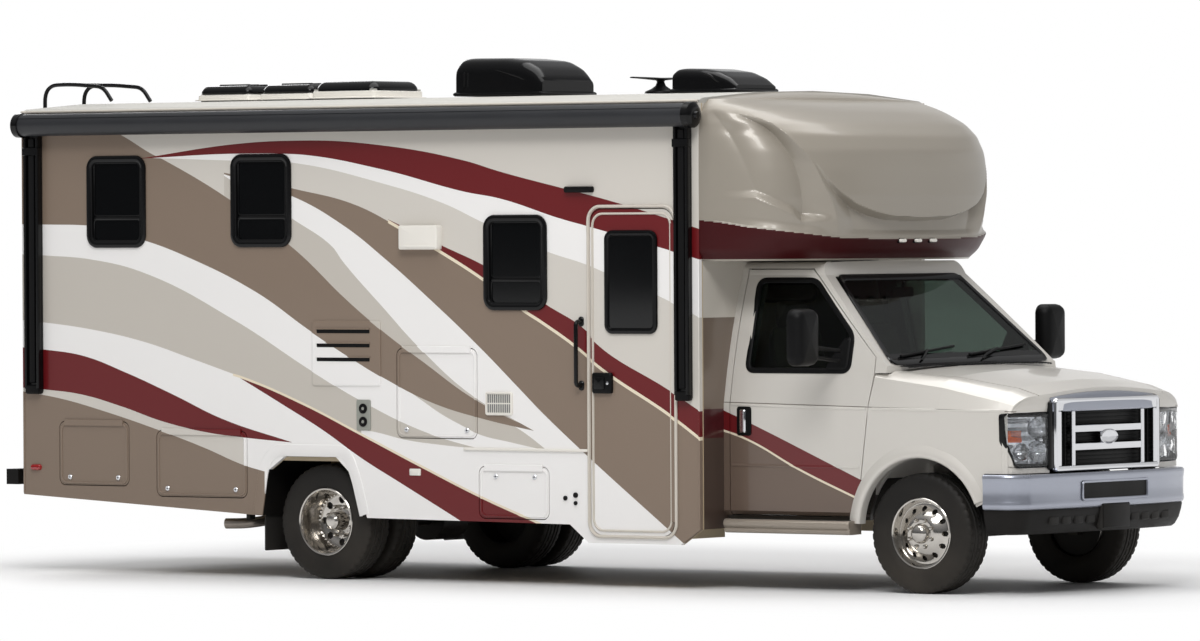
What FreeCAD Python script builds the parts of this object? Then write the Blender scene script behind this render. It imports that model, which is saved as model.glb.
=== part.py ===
import FreeCAD, Part
import math
import os
import re

import Sketcher
from FreeCAD import Placement, Rotation, Vector

# A motorhome on a cutaway van chassis, in millimetres.
# +X is forward, +Y is the driver's side (left), +Z is up.  The origin is on the ground, midway
# between the front bumper and the rear bumper, on the centre line.

doc = FreeCAD.newDocument("Motorhome")

# ----------------------------------------------------------------------------------------------
# Driving sizes: (alias, value, what it is)
# ----------------------------------------------------------------------------------------------
SIZES = (
    ("wheelbase", 4470, "front axle to rear axle"),
    ("front_overhang", 800, "front axle to the face of the front bumper"),
    ("rear_overhang", 2730, "rear axle to the face of the rear bumper"),
    ("bumper_standoff", 228, "rear wall to the face of the rear bumper"),
    ("house_setback", 1460, "front axle back to the front wall of the house"),
    ("house_width", 2480, "outside width of the house"),
    ("wall", 40, "thickness of the house walls"),
    ("wall_top", 3020, "ground to the top of the walls"),
    ("roof_crown", 55, "rise of the roof in the middle"),
    ("roof_edge", 32, "thickness of the roof at its edges"),
    ("floor_top", 820, "ground to the house floor"),
    ("floor_thick", 60, "thickness of the house floor"),
    ("joist_deep", 60, "depth of the floor joists"),
    ("rail_deep", 200, "depth of the frame rails"),
    ("rail_wide", 70, "width of a frame rail's flanges"),
    ("rail_web", 8, "thickness of the rail's web and flanges"),
    ("engine_top", 1090, "ground to the top of the engine"),
    ("frame_width", 860, "outside width of the frame"),
    ("skirt_rear", 510, "ground to the skirt at the rear wall"),
    ("skirt_middle", 403, "ground to the skirt beside the wheels"),
    ("skirt_door", 278, "ground to the skirt below the entry door"),
    ("skirt_front", 376, "ground to the skirt at the front corner"),
    ("arch_top", 790, "ground to the top of the rear wheel opening"),
    ("tyre_radius", 370, "radius of the tyres"),
    ("tyre_width", 222, "width of a tyre"),
    ("rim_radius", 206, "radius of the rim where the tyre sits"),
    ("front_track", 1716, "distance between the front tyres' middles"),
    ("rear_outer_track", 2160, "distance between the outer rear tyres' middles"),
    ("dual_spacing", 300, "distance between the middles of twin tyres"),
    ("kingpin_radius", 16, "radius of a kingpin"),
    ("spindle_radius", 30, "radius of the wheel spindles"),
    ("running_gap", 0.05, "radial clearance of a shaft in its bore"),
    ("panel_gap", 6, "clearance round doors and hatches"),
    ("seat_gap", 0.3, "clearance under a piece that rests on another"),
    ("window_width", 490, "outside width of a house window"),
    ("window_height", 592, "outside height of a house window"),
    ("window_rim", 44, "width of a window's frame"),
    ("window_corner", 78, "corner radius of a window's frame"),
    ("frame_stands_out", 12, "how far a window's frame stands out of the wall"),
    ("glass_thick", 6, "thickness of the glass"),
    ("hatch_thick", 26, "thickness of a storage hatch"),
    ("hinge_radius", 5, "radius of the hinges' barrels"),
    ("hinge_rise", 12, "hinge axis above or beside the edge of its panel"),
    ("hatch_corner", 45, "corner radius of a storage hatch"),
    ("locker_deep", 420, "depth of the storage lockers"),
    ("locker_wall", 8, "thickness of the lockers' walls"),
    ("entry_width", 640, "width of the entry door"),
    ("entry_bottom", 330, "ground to the bottom of the entry door"),
    ("entry_top", 2365, "ground to the top of the entry door"),
    ("entry_corner", 90, "corner radius of the entry door"),
    ("cab_half_width", 985, "half the width of the cab below its windows"),
    ("cab_roof_half_width", 775, "half the width of the cab at its roof"),
    ("cab_crease", 1150, "ground to the crease along the cab's side"),
    ("crease_lean", 38, "lean of the cab's side from the crease to the belt"),
    ("cab_belt", 1352, "ground to the sills of the cab's windows"),
    ("cab_roof", 2035, "ground to the cab's roof"),
    ("cab_sill", 440, "ground to the bottom of the cab's body"),
    ("cab_floor", 740, "ground to the cab's floor"),
    ("cab_wall", 70, "thickness of the cab's doors and pillars"),
    ("door_bottom", 466, "ground to the bottom of a cab door"),
    ("cap_bottom", 2040, "ground to the bunk deck over the cab"),
    ("cap_shell", 30, "thickness of the front cap"),
    ("grille_half_width", 590, "half the width of the grille"),
    ("grille_bottom", 742, "ground to the bottom of the grille"),
    ("grille_top", 1198, "ground to the top of the grille"),
    ("bumper_bottom", 520, "ground to the bottom of the front bumper's face"),
    ("bumper_top", 738, "ground to the top of the front bumper"),
    ("bumper_thick", 62, "thickness of the front bumper"),
    ("bumper_half_width", 1000, "half the width of the front bumper"),
    ("rear_tube", 102, "size of the rear bumper's square tube"),
    ("receiver_inside", 51, "inside width of the hitch receiver"),
    ("receiver_wall", 6.5, "wall of the hitch receiver"),
    ("hitch_pin_radius", 8.1, "radius of the hitch pin's hole"),
    ("ladder_tube", 13, "radius of the ladder's tube"),
    ("ladder_width", 400, "distance between the ladder's stiles"),
    ("awning_radius", 72, "radius of the rolled awning"),
    ("arm_width", 62, "width of an awning arm"),
    ("arm_deep", 46, "depth of an awning arm"),
    ("vent_size", 360, "size of a roof vent's opening"),
    ("vent_curb", 45, "height of a roof vent's curb"),
)

sheet = doc.addObject("Spreadsheet::Sheet", "Sizes")
for row, (alias, value, meaning) in enumerate(SIZES, start=1):
    sheet.set("A%d" % row, meaning)
    sheet.set("B%d" % row, str(value))
    sheet.setAlias("B%d" % row, alias)
doc.recompute()

# Places worked out from the sizes: (name, formula)
PLACES = (
    ("front_axle", "(wheelbase + rear_overhang - front_overhang) / 2"),
    ("rear_axle", "front_axle - wheelbase"),
    ("nose", "front_axle + front_overhang"),
    ("tail", "rear_axle - rear_overhang"),
    ("house_rear", "tail + bumper_standoff"),
    ("house_front", "front_axle - house_setback"),
    ("side", "house_width / 2"),
    ("inner_side", "side - wall"),
    ("floor_bottom", "floor_top - floor_thick"),
    ("rail_top", "floor_bottom - joist_deep"),
    ("rail_bottom", "rail_top - rail_deep"),
    ("rail_side", "frame_width / 2"),
    ("kingpin_track", "front_track - 156"),
    ("roof_top", "wall_top + roof_edge + roof_crown"),
    ("entry_front", "front_axle - 1658"),
    ("entry_rear", "entry_front - entry_width"),
    ("windshield_foot", "front_axle - 263"),
    ("windshield_head", "front_axle - 828"),
    ("cab_door_rear", "house_front + 50"),
    ("cab_door_front", "front_axle - 350"),
    ("grille_face", "front_axle + 720"),
    ("fender_rear", "cab_door_front + panel_gap"),
    ("bumper_back", "nose - bumper_thick"),
)

places = doc.addObject("App::VarSet", "Places")
ALIASES = {alias for alias, value, meaning in SIZES}
PLACE_NAMES = {name for name, formula in PLACES}


def expression(text):
    """A formula in the names above, as FreeCAD's expression engine reads it."""
    def qualify(match):
        word = match.group(0)
        if word in ALIASES:
            return "Sizes." + word
        if word in PLACE_NAMES:
            return "Places." + word
        return word
    return re.sub(r"[a-z][a-z_0-9]*", qualify, str(text))


for name, formula in PLACES:
    places.addProperty("App::PropertyFloat", name)
for name, formula in PLACES:
    places.setExpression(name, expression(formula).replace("Places.", ""))
doc.recompute()


class Values:
    """The sizes and places as plain numbers, for the shapes made by code."""

    def __getattr__(self, name):
        if name in PLACE_NAMES:
            return float(getattr(places, name))
        return float(getattr(sheet, name))


v = Values()
NODES = []


def node(obj, label):
    """Marks a finished object as a piece that is written to its own file."""
    obj.Label = label
    NODES.append(obj)
    return obj


# ----------------------------------------------------------------------------------------------
# Building blocks
# ----------------------------------------------------------------------------------------------
def box(name, x0, x1, y0, y1, z0, z1):
    """A block between six formulas."""
    obj = doc.addObject("Part::Box", name)
    spans = (("Length", "x", x0, x1), ("Width", "y", y0, y1), ("Height", "z", z0, z1))
    for prop, axis, low, high in spans:
        obj.setExpression(prop, expression("(%s) - (%s)" % (high, low)))
        obj.setExpression("Placement.Base." + axis, expression(low))
    return obj


TURNS = {
    "X": Rotation(Vector(0, 1, 0), 90),
    "Y": Rotation(Vector(1, 0, 0), -90),
    "Z": Rotation(),
}


def rod(name, axis, x, y, z, radius, length):
    """A cylinder along +X, +Y or +Z that starts at a point."""
    obj = doc.addObject("Part::Cylinder", name)
    obj.Placement = Placement(Vector(), TURNS[axis])
    obj.setExpression("Radius", expression(radius))
    obj.setExpression("Height", expression(length))
    for letter, place in (("x", x), ("y", y), ("z", z)):
        obj.setExpression("Placement.Base." + letter, expression(place))
    return obj


def fuse(name, parts):
    """One piece from touching blocks, or several like pieces that share a node."""
    obj = doc.addObject("Part::MultiFuse", name)
    obj.Shapes = parts
    obj.Refine = True
    return obj


def cut(name, base, tools):
    """A piece with one or more others taken out of it."""
    tool = tools[0] if len(tools) == 1 else fuse(name + "_tools", tools)
    obj = doc.addObject("Part::Cut", name)
    obj.Base = base
    obj.Tool = tool
    obj.Refine = False
    return obj


def group(name, parts):
    """Like pieces that stand apart, in one node."""
    obj = doc.addObject("Part::Compound", name)
    obj.Links = parts
    return obj


def solid(name, shape):
    """A shape made by code, from the sheet's values."""
    obj = doc.addObject("Part::Feature", name)
    obj.Shape = shape
    obj.Placement = Placement()
    return obj


PLANES = {"XY": "XY_Plane", "XZ": "XZ_Plane", "YZ": "YZ_Plane"}


def sketch(body, name, plane, start):
    """A sketch on one of the body's own planes, shifted along that plane's normal."""
    obj = body.newObject("Sketcher::SketchObject", name)
    origin_plane = [f for f in body.Origin.OriginFeatures if f.Role == PLANES[plane]][0]
    obj.AttachmentSupport = [(origin_plane, "")]
    obj.MapMode = "FlatFace"
    obj.setExpression("AttachmentOffset.Base.z", expression(start))
    return obj


def number(formula):
    """A formula's value, so that a sketch is drawn where its constraints will hold it."""
    value = places.evalExpression(expression(formula))
    return float(getattr(value, "Value", value))


def bind(obj, kind, geometry, end, formula):
    """Holds one coordinate of a sketch point at a formula from the sketch's origin."""
    index = obj.addConstraint(Sketcher.Constraint(kind, -1, 1, geometry, end, number(formula)))
    obj.setExpression("Constraints[%d]" % index, expression(formula))


def polygon(obj, points):
    """A closed outline of straight lines through points given as formulas."""
    first = obj.GeometryCount
    count = len(points)
    drawn = [Vector(number(a), number(b), 0) for a, b in points]
    for i in range(count):
        obj.addGeometry(Part.LineSegment(drawn[i], drawn[(i + 1) % count]), False)
    for i in range(count):
        following = first + (i + 1) % count
        obj.addConstraint(Sketcher.Constraint("Coincident", first + i, 2, following, 1))
    for i, (a, b) in enumerate(points):
        bind(obj, "DistanceX", first + i, 1, a)
        bind(obj, "DistanceY", first + i, 1, b)


def rounded(obj, a0, a1, b0, b1, radius):
    """A rectangle with round corners, between four formulas."""
    first = obj.GeometryCount
    x0, x1, y0, y1, r = (number(formula) for formula in (a0, a1, b0, b1, radius))
    corners = ((x1 - r, y1 - r, 0), (x0 + r, y1 - r, 90), (x0 + r, y0 + r, 180),
               (x1 - r, y0 + r, 270))
    lines = (((x0 + r, y1), (x1 - r, y1)), ((x0, y0 + r), (x0, y1 - r)),
             ((x1 - r, y0), (x0 + r, y0)), ((x1, y1 - r), (x1, y0 + r)))
    for start, end in lines:
        obj.addGeometry(Part.LineSegment(Vector(*start, 0), Vector(*end, 0)), False)
    for x, y, degrees in corners:
        circle = Part.Circle(Vector(x, y, 0), Vector(0, 0, 1), r)
        low = math.radians(degrees)
        obj.addGeometry(Part.ArcOfCircle(circle, low, low + math.pi / 2), False)
    top, left, bottom, right = first, first + 1, first + 2, first + 3
    top_right, top_left, bottom_left, bottom_right = (first + 4, first + 5, first + 6, first + 7)
    joins = ((top_right, 1, right, 1), (top_right, 2, top, 2), (top_left, 1, top, 1),
             (top_left, 2, left, 2), (bottom_left, 1, left, 1), (bottom_left, 2, bottom, 2),
             (bottom_right, 1, bottom, 1), (bottom_right, 2, right, 2))
    for arc, arc_end, line, line_end in joins:
        obj.addConstraint(Sketcher.Constraint("Tangent", arc, arc_end, line, line_end))
    for line in (top, bottom):
        obj.addConstraint(Sketcher.Constraint("Horizontal", line))
    for line in (left, right):
        obj.addConstraint(Sketcher.Constraint("Vertical", line))
    for arc in (top_left, bottom_left, bottom_right):
        obj.addConstraint(Sketcher.Constraint("Equal", top_right, arc))
    index = obj.addConstraint(Sketcher.Constraint("Radius", top_right, r))
    obj.setExpression("Constraints[%d]" % index, expression(radius))
    places_of_sides = (("DistanceX", left, a0), ("DistanceX", right, a1),
                       ("DistanceY", bottom, b0), ("DistanceY", top, b1))
    for kind, line, formula in places_of_sides:
        bind(obj, kind, line, 1, formula)


def plate(name, plane, start, thick, outline, corner=None):
    """A flat piece: its outline on a plane, made thick along that plane's normal.

    The outline is a list of points, or with a corner radius the four sides of a rectangle."""
    body = doc.addObject("PartDesign::Body", name)
    profile = sketch(body, name + "_outline", plane, start)
    if corner is None:
        polygon(profile, outline)
    else:
        rounded(profile, *outline, corner)
    pad = body.newObject("PartDesign::Pad", name + "_pad")
    pad.Profile = profile
    pad.setExpression("Length", expression(thick))
    body.Tip = pad
    return body


def turned(name, x, y, z, points):
    """A body of revolution about a Y line: points are (place along Y, radius)."""
    body = doc.addObject("PartDesign::Body", name)
    profile = sketch(body, name + "_profile", "YZ", "0")
    polygon(profile, points)
    spin = body.newObject("PartDesign::Revolution", name + "_turned")
    spin.Profile = profile
    spin.ReferenceAxis = (profile, ["H_Axis"])
    spin.Angle = 360
    body.Tip = spin
    for letter, place in (("x", x), ("y", y), ("z", z)):
        body.setExpression("Placement.Base." + letter, expression(place))
    return body


# ----------------------------------------------------------------------------------------------
# Chassis: ladder frame, power train, axles, tanks, exhaust
# ----------------------------------------------------------------------------------------------
def rail(name, y_outer, y_inner, inner_low, inner_high):
    """One frame rail: a channel with its open side inward."""
    whole = box(name + "_block", "tail + rear_tube", "bumper_back", y_outer, y_inner,
                "rail_bottom", "rail_top")
    hollow = box(name + "_hollow", "tail", "nose", inner_low, inner_high,
                 "rail_bottom + rail_web", "rail_top - rail_web")
    return cut(name, whole, [hollow])


CROSSMEMBERS = (  # name, place of its middle, ground to its underside, ground to its top
    ("front_crossmember", "front_axle + 560", "rail_bottom + 20", "rail_top - 20"),
    ("engine_crossmember", "front_axle + 150", "rail_bottom - 50", "rail_bottom"),
    ("gearbox_crossmember", "front_axle - 700", "rail_bottom - 50", "rail_bottom"),
    ("middle_crossmember", "rear_axle + 1900", "rail_top - 90", "rail_top"),
    ("axle_crossmember", "rear_axle + 700", "rail_top - 90", "rail_top"),
    ("tank_crossmember", "rear_axle - 800", "rail_top - 90", "rail_top"),
    ("hitch_crossmember", "tail + rear_tube + 340", "rail_bottom + 20", "rail_top - 20"),
)


def make_chassis():
    right = rail("right_rail", "-rail_side", "-rail_side + rail_wide",
                 "-rail_side + rail_web", "0")
    left = rail("left_rail", "rail_side - rail_wide", "rail_side",
                "0", "rail_side - rail_web")
    parts = [right, left]
    for name, middle, low, high in CROSSMEMBERS:
        parts.append(box(name, middle + " - 40", middle + " + 40",
                         "-rail_side + rail_web", "rail_side - rail_web", low, high))
    node(fuse("chassis_frame_fused", parts), "chassis_frame")


def make_engine():
    engine = box("engine", "front_axle - 80", "front_axle + 470", "-290", "290",
                 "rail_bottom", "engine_top")
    gearbox = box("gearbox", "front_axle - 860", "front_axle - 80", "-170", "170",
                  "rail_bottom", "cab_floor - 60")
    shaft = rod("propeller_shaft", "X", "rear_axle + 150", "0", "tyre_radius + 110",
                "42", "(front_axle - 860) - (rear_axle + 150)")
    node(fuse("engine_fused", [engine, gearbox, shaft]), "engine_block")


SIDES = (("right", "-1"), ("left", "1"))


def sign_of(side):
    return -1 if side == "right" else 1


def make_axles():
    eye_height = "80"
    front = [box("front_beam", "front_axle - 35", "front_axle + 35",
                 "-kingpin_track / 2", "kingpin_track / 2",
                 "tyre_radius - %s / 2" % eye_height, "tyre_radius + %s / 2" % eye_height)]
    bores = []
    rear = [rod("axle_tube", "Y", "rear_axle", "-(rear_outer_track - dual_spacing) / 2 + 172",
                "tyre_radius", "58", "rear_outer_track - dual_spacing - 344"),
            rod("axle_spindles", "Y", "rear_axle", "-rear_outer_track / 2 + 60", "tyre_radius",
                "spindle_radius", "rear_outer_track - 120"),
            rod("differential", "Y", "rear_axle", "-130", "tyre_radius", "155", "260"),
            rod("pinion_nose", "X", "rear_axle", "0", "tyre_radius + 110", "44", "150")]
    for side, sign in SIDES:
        eye_y = "%s * kingpin_track / 2" % sign
        front.append(rod("front_eye_" + side, "Z", "front_axle", eye_y,
                         "tyre_radius - %s / 2" % eye_height, "38", eye_height))
        bores.append(rod("front_eye_bore_" + side, "Z", "front_axle", eye_y,
                         "tyre_radius - %s" % eye_height, "kingpin_radius + running_gap",
                         "2 * %s" % eye_height))
        rail_middle = "%s * (rail_side - rail_wide / 2)" % sign
        front.append(rod("front_spring_" + side, "Z", "front_axle", rail_middle,
                         "tyre_radius + %s / 2" % eye_height, "52",
                         "rail_bottom - tyre_radius - %s / 2" % eye_height))
        leaf = plate("leaf_spring_" + side, "XZ", "-(%s) - 32" % rail_middle, "64", (
            ("rear_axle - 720", "rail_bottom - 46"), ("rear_axle - 60", "tyre_radius + 30"),
            ("rear_axle + 60", "tyre_radius + 30"), ("rear_axle + 620", "rail_bottom - 46"),
            ("rear_axle + 620", "rail_bottom"), ("rear_axle + 560", "rail_bottom"),
            ("rear_axle + 60", "tyre_radius + 84"), ("rear_axle - 60", "tyre_radius + 84"),
            ("rear_axle - 660", "rail_bottom"), ("rear_axle - 720", "rail_bottom")))
        rear.append(leaf)
    front_axle = cut("front_axle_bored", fuse("front_axle_fused", front), bores)
    rear_axle = fuse("rear_axle_fused", rear)
    node(front_axle, "front_axle")
    node(rear_axle, "rear_axle")


TANKS = (  # name, rear end, front end, right side, left side, depth
    ("fuel_tank", "rear_axle - 2050", "rear_axle - 900", "-rail_side + rail_wide + 20",
     "rail_side - rail_wide - 20", "280"),
    ("waste_tank", "rear_axle + 760", "rear_axle + 1700", "rail_side + 40", "inner_side - 60",
     "250"),
    ("fresh_tank", "rear_axle - 1500", "rear_axle - 620", "rail_side + 40", "inner_side - 60",
     "200"),
)


def make_tanks():
    parts = [box(name, rear, front, right, left, "rail_top - " + deep, "rail_top")
             for name, rear, front, right, left, deep in TANKS]
    node(group("tanks_grouped", parts), "under_tanks")


def make_exhaust():
    pipe_y = "-rail_side - 150"
    pipe_z = "rail_bottom - 36"
    tyre_inside = "rear_outer_track / 2 - dual_spacing - tyre_width / 2"
    tail_y = "-(rail_side + %s) / 2" % tyre_inside
    muffler = rod("muffler", "X", "rear_axle + 1150", pipe_y, pipe_z, "95", "620")
    hanger = box("muffler_hanger", "rear_axle + 1400", "rear_axle + 1440",
                 pipe_y + " - 20", pipe_y + " + 20", pipe_z + " + 80", "floor_bottom")
    front_pipe = rod("front_pipe", "X", "rear_axle + 1770", pipe_y, pipe_z, "29", "1000")
    tail_pipe = rod("tail_pipe", "X", "rear_axle - 789", tail_y, pipe_z, "29", "789 + 1170")
    outlet = rod("outlet_pipe", "Y", "rear_axle - 760", "-side + 70", pipe_z, "29",
                 "(side - 70) + (%s) + 29" % tail_y)
    node(fuse("exhaust_fused", [muffler, hanger, front_pipe, tail_pipe, outlet]), "exhaust")


make_chassis()
make_engine()
make_axles()
make_tanks()
make_exhaust()

# ----------------------------------------------------------------------------------------------
# House: floor, walls, roof, windows, lockers and their hatches
# ----------------------------------------------------------------------------------------------
JOISTS = ("rear_axle - 2400", "rear_axle - 1480", "rear_axle - 520", "rear_axle + 800",
          "rear_axle + 1900", "house_front - 120")

HATCHES = (  # name, side, rear edge, front edge, ground to its bottom, ground to its top
    ("hatch_rear", "right", "rear_axle - 2187", "rear_axle - 1598", "580", "993"),
    ("hatch_wheel", "right", "rear_axle - 1357", "rear_axle - 604", "517", "942"),
    ("hatch_galley", "right", "rear_axle + 634", "rear_axle + 1272", "921", "1487"),
    ("hatch_step", "right", "rear_axle + 1290", "rear_axle + 1838", "420", "743"),
    ("hatch_left", "left", "rear_axle - 2187", "rear_axle - 1598", "580", "993"),
)

WINDOWS = (  # name, side, middle along the wall, ground to its middle
    ("bed_window", "right", "front_axle - 6158", "2437"),
    ("bath_window", "right", "front_axle - 4940", "2437"),
    ("galley_window", "right", "front_axle - 2884", "2033"),
    ("left_bed_window", "left", "front_axle - 6158", "2437"),
    ("left_middle_window", "left", "front_axle - 4300", "2033"),
    ("left_front_window", "left", "front_axle - 2500", "2033"),
)


def wall_start(side):
    """Where a side wall's sketch lies, counted along the plane's normal (towards -Y)."""
    return "inner_side" if side == "right" else "-side"


def opening(hatch_low, hatch_high, low, high, margin):
    """The four sides of a rectangle, grown by a margin."""
    return (hatch_low + " - " + margin, hatch_high + " + " + margin,
            low + " - " + margin, high + " + " + margin)


def make_lockers():
    """Open-fronted boxes behind the hatches, and the stair well inside the entry door."""
    lockers = []
    spaces = []
    for name, side, rear, front, low, high in HATCHES:
        sign = "-1" if side == "right" else "1"
        wall_face = "%s * inner_side" % sign
        back = "%s * (inner_side - locker_deep)" % sign
        near, far = (wall_face, back) if side == "right" else (back, wall_face)
        block = box(name + "_locker_block", rear + " - panel_gap - locker_wall",
                    front + " + panel_gap + locker_wall", near, far,
                    low + " - panel_gap - locker_wall", high + " + panel_gap + locker_wall")
        spaces.append(block)
        step = "locker_wall" if side == "right" else "0"
        step_in = "0" if side == "right" else "locker_wall"
        inside = box(name + "_locker_inside", rear + " - panel_gap", front + " + panel_gap",
                     near + " + " + step_in, far + " - " + step,
                     low + " - panel_gap", high + " + panel_gap")
        lockers.append(cut(name + "_locker", block, [inside]))
    node(group("lockers_grouped", lockers), "lockers")
    return spaces


def make_floor(spaces):
    slab = box("floor_slab", "house_rear + wall", "house_front - wall",
               "-inner_side", "inner_side", "floor_bottom", "floor_top")
    joists = [box("joist_%d" % i, x + " - 30", x + " + 30", "-inner_side", "inner_side",
                  "rail_top", "floor_bottom") for i, x in enumerate(JOISTS, start=1)]
    well = box("stair_well", "entry_rear - 20", "entry_front + 20", "-inner_side",
               "-inner_side + 470", "entry_bottom - 20", "floor_top")
    raised = fuse("floor_fused", [slab] + joists + [well])
    hollow = box("stair_hollow", "entry_rear - 8", "entry_front + 8", "-inner_side - 1",
                 "-inner_side + 458", "entry_bottom + 2", "floor_top + 1")
    stair = box("stair_tread", "entry_rear - 20", "entry_front + 20", "-inner_side + 240",
                "-inner_side + 470", "entry_bottom - 20", "entry_bottom + 245")
    emptied = cut("floor_with_well", raised, [hollow])
    floor = fuse("floor_with_stair", [emptied, stair])
    node(cut("house_floor_cut", floor, spaces), "house_floor")


def wall_outline():
    return (
        ("house_rear", "skirt_rear"), ("rear_axle - 480", "skirt_middle"),
        ("rear_axle - 430", "arch_top - 96"), ("rear_axle - 287", "arch_top"),
        ("rear_axle + 130", "arch_top"), ("rear_axle + 290", "arch_top - 140"),
        ("rear_axle + 384", "skirt_middle"), ("entry_rear - 170", "skirt_middle - 12"),
        ("entry_rear - 25", "skirt_door"), ("entry_front + 48", "skirt_door"),
        ("house_front", "skirt_front"), ("house_front", "wall_top"),
        ("house_rear", "wall_top"))


def window_sides(x, z, margin):
    return (x + " - window_width / 2 + " + margin, x + " + window_width / 2 - " + margin,
            z + " - window_height / 2 + " + margin, z + " + window_height / 2 - " + margin)


def through_pocket(body, name, plane, start, openings):
    """Cuts a row of round-cornered openings right through a body."""
    profile = sketch(body, name + "_openings", plane, start)
    for sides, corner in openings:
        rounded(profile, *sides, corner)
    pocket = body.newObject("PartDesign::Pocket", name + "_pocket")
    pocket.Profile = profile
    pocket.Type = "ThroughAll"
    pocket.SideType = "Symmetric"
    body.Tip = pocket


def make_side_wall(side):
    name = "wall_" + side
    start = wall_start(side)
    body = plate(name, "XZ", start, "wall", wall_outline())
    openings = [(window_sides(x, z, "20"), "window_corner - 20")
                for _, window_side, x, z in WINDOWS if window_side == side]
    openings += [(opening(rear, front, low, high, "panel_gap"), "hatch_corner + panel_gap")
                 for _, hatch_side, rear, front, low, high in HATCHES if hatch_side == side]
    if side == "right":
        openings.append((opening("entry_rear", "entry_front", "entry_bottom", "entry_top",
                                 "panel_gap"), "entry_corner + panel_gap"))
    through_pocket(body, name, "XZ", start + " + wall / 2", openings)
    node(body, name)


def make_rear_wall():
    body = plate("wall_rear", "YZ", "house_rear", "wall",
                 (("-inner_side", "skirt_rear"), ("-rail_side - 10", "skirt_rear"),
                  ("-rail_side - 10", "rail_top + 5"), ("rail_side + 10", "rail_top + 5"),
                  ("rail_side + 10", "skirt_rear"), ("inner_side", "skirt_rear"),
                  ("inner_side", "wall_top"), ("-inner_side", "wall_top")))
    sides = window_sides("0", "2033", "20")
    through_pocket(body, "wall_rear", "YZ", "house_rear + wall / 2",
                   [(sides, "window_corner - 20")])
    node(body, "wall_rear")


def make_bulkhead():
    """The house's front wall round the cab, and the opening between cab and house."""
    body = plate("front_bulkhead", "YZ", "house_front - wall", "wall",
                 (("-inner_side", "skirt_front"), ("inner_side", "skirt_front"),
                  ("inner_side", "wall_top"), ("-inner_side", "wall_top")))
    passage = ("-cab_roof_half_width + 60", "cab_roof_half_width - 60",
               "floor_top", "cab_roof - 120")
    bunk = ("-inner_side + 80", "inner_side - 80", "cap_bottom + 40", "wall_top - 130")
    chassis = ("-rail_side - 150", "rail_side + 150", "skirt_front + 10", "floor_bottom - 4")
    through_pocket(body, "front_bulkhead", "YZ", "house_front - wall / 2",
                   [(passage, "60"), (bunk, "60"), (chassis, "20")])
    node(body, "front_bulkhead")


VENTS = (("front_vent", "front_axle - 5560"), ("rear_vent", "front_axle - 6090"))


def make_roof():
    body = plate("house_roof_body", "YZ", "house_rear", "house_front - house_rear", (
        ("-side", "wall_top"), ("side", "wall_top"), ("side", "wall_top + roof_edge * 0.5"),
        ("side - 50", "wall_top + roof_edge"), ("side / 2", "roof_top - roof_crown * 0.25"),
        ("0", "roof_top"), ("-side / 2", "roof_top - roof_crown * 0.25"),
        ("-side + 50", "wall_top + roof_edge"), ("-side", "wall_top + roof_edge * 0.5")))
    curbs = []
    holes = []
    for name, x in VENTS:
        curbs.append(box(name + "_curb", x + " - vent_size / 2 - 22", x + " + vent_size / 2 + 22",
                         "-vent_size / 2 - 22", "vent_size / 2 + 22", "wall_top + 4",
                         "roof_top + vent_curb"))
        holes.append(box(name + "_hole", x + " - vent_size / 2", x + " + vent_size / 2",
                         "-vent_size / 2", "vent_size / 2", "wall_top - 1",
                         "roof_top + vent_curb + 1"))
    skylight = box("skylight", "front_axle - 5290", "front_axle - 4790", "-250", "250",
                   "wall_top + 20", "roof_top + 62")
    roof = fuse("roof_with_curbs", [body, skylight] + curbs)
    node(cut("house_roof_cut", roof, holes), "house_roof")
    for name, x in VENTS:
        lid = box(name + "_lid_plate", x + " - vent_size / 2 - 32", x + " + vent_size / 2 + 32",
                  "-vent_size / 2 - 32", "vent_size / 2 + 32",
                  "roof_top + vent_curb + seat_gap", "roof_top + vent_curb + 24")
        barrel = rod(name + "_barrel", "Y", x + " - vent_size / 2 - 32", "-60",
                     "roof_top + vent_curb + hinge_rise", "hinge_radius", "120")
        node(fuse(name + "_lid_fused", [lid, barrel]), name + "_lid")


def make_windows():
    frames = []
    panes = []
    for name, side, x, z in WINDOWS:
        outer = "side" if side == "right" else "-side - frame_stands_out"
        neck = "inner_side" if side == "right" else "-side"
        pane = "side - 12" if side == "right" else "-side + 12 - glass_thick"
        flange = plate(name + "_flange", "XZ", outer, "frame_stands_out",
                       window_sides(x, z, "0"), "window_corner")
        sleeve = plate(name + "_sleeve", "XZ", neck, "wall", window_sides(x, z, "20"),
                       "window_corner - 20")
        inner = plate(name + "_inner", "XZ", outer + " - 100", "200",
                      window_sides(x, z, "window_rim"), "window_corner - window_rim")
        ring = cut(name + "_ring", fuse(name + "_frame", [flange, sleeve]), [inner])
        frames.append(ring)
        panes.append(plate(name + "_pane", "XZ", pane, "glass_thick",
                           window_sides(x, z, "window_rim"), "window_corner - window_rim"))
    flange = plate("rear_window_flange", "YZ", "house_rear - frame_stands_out",
                   "frame_stands_out", window_sides("0", "2033", "0"), "window_corner")
    sleeve = plate("rear_window_sleeve", "YZ", "house_rear", "wall",
                   window_sides("0", "2033", "20"), "window_corner - 20")
    inner = plate("rear_window_inner", "YZ", "house_rear - 100", "200",
                  window_sides("0", "2033", "window_rim"), "window_corner - window_rim")
    frames.append(cut("rear_window_ring", fuse("rear_window_frame", [flange, sleeve]), [inner]))
    panes.append(plate("rear_window_pane", "YZ", "house_rear + 12", "glass_thick",
                       window_sides("0", "2033", "window_rim"),
                       "window_corner - window_rim"))
    node(group("window_frames_grouped", frames), "window_frames")
    node(group("window_glass_grouped", panes), "window_glass")


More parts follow.
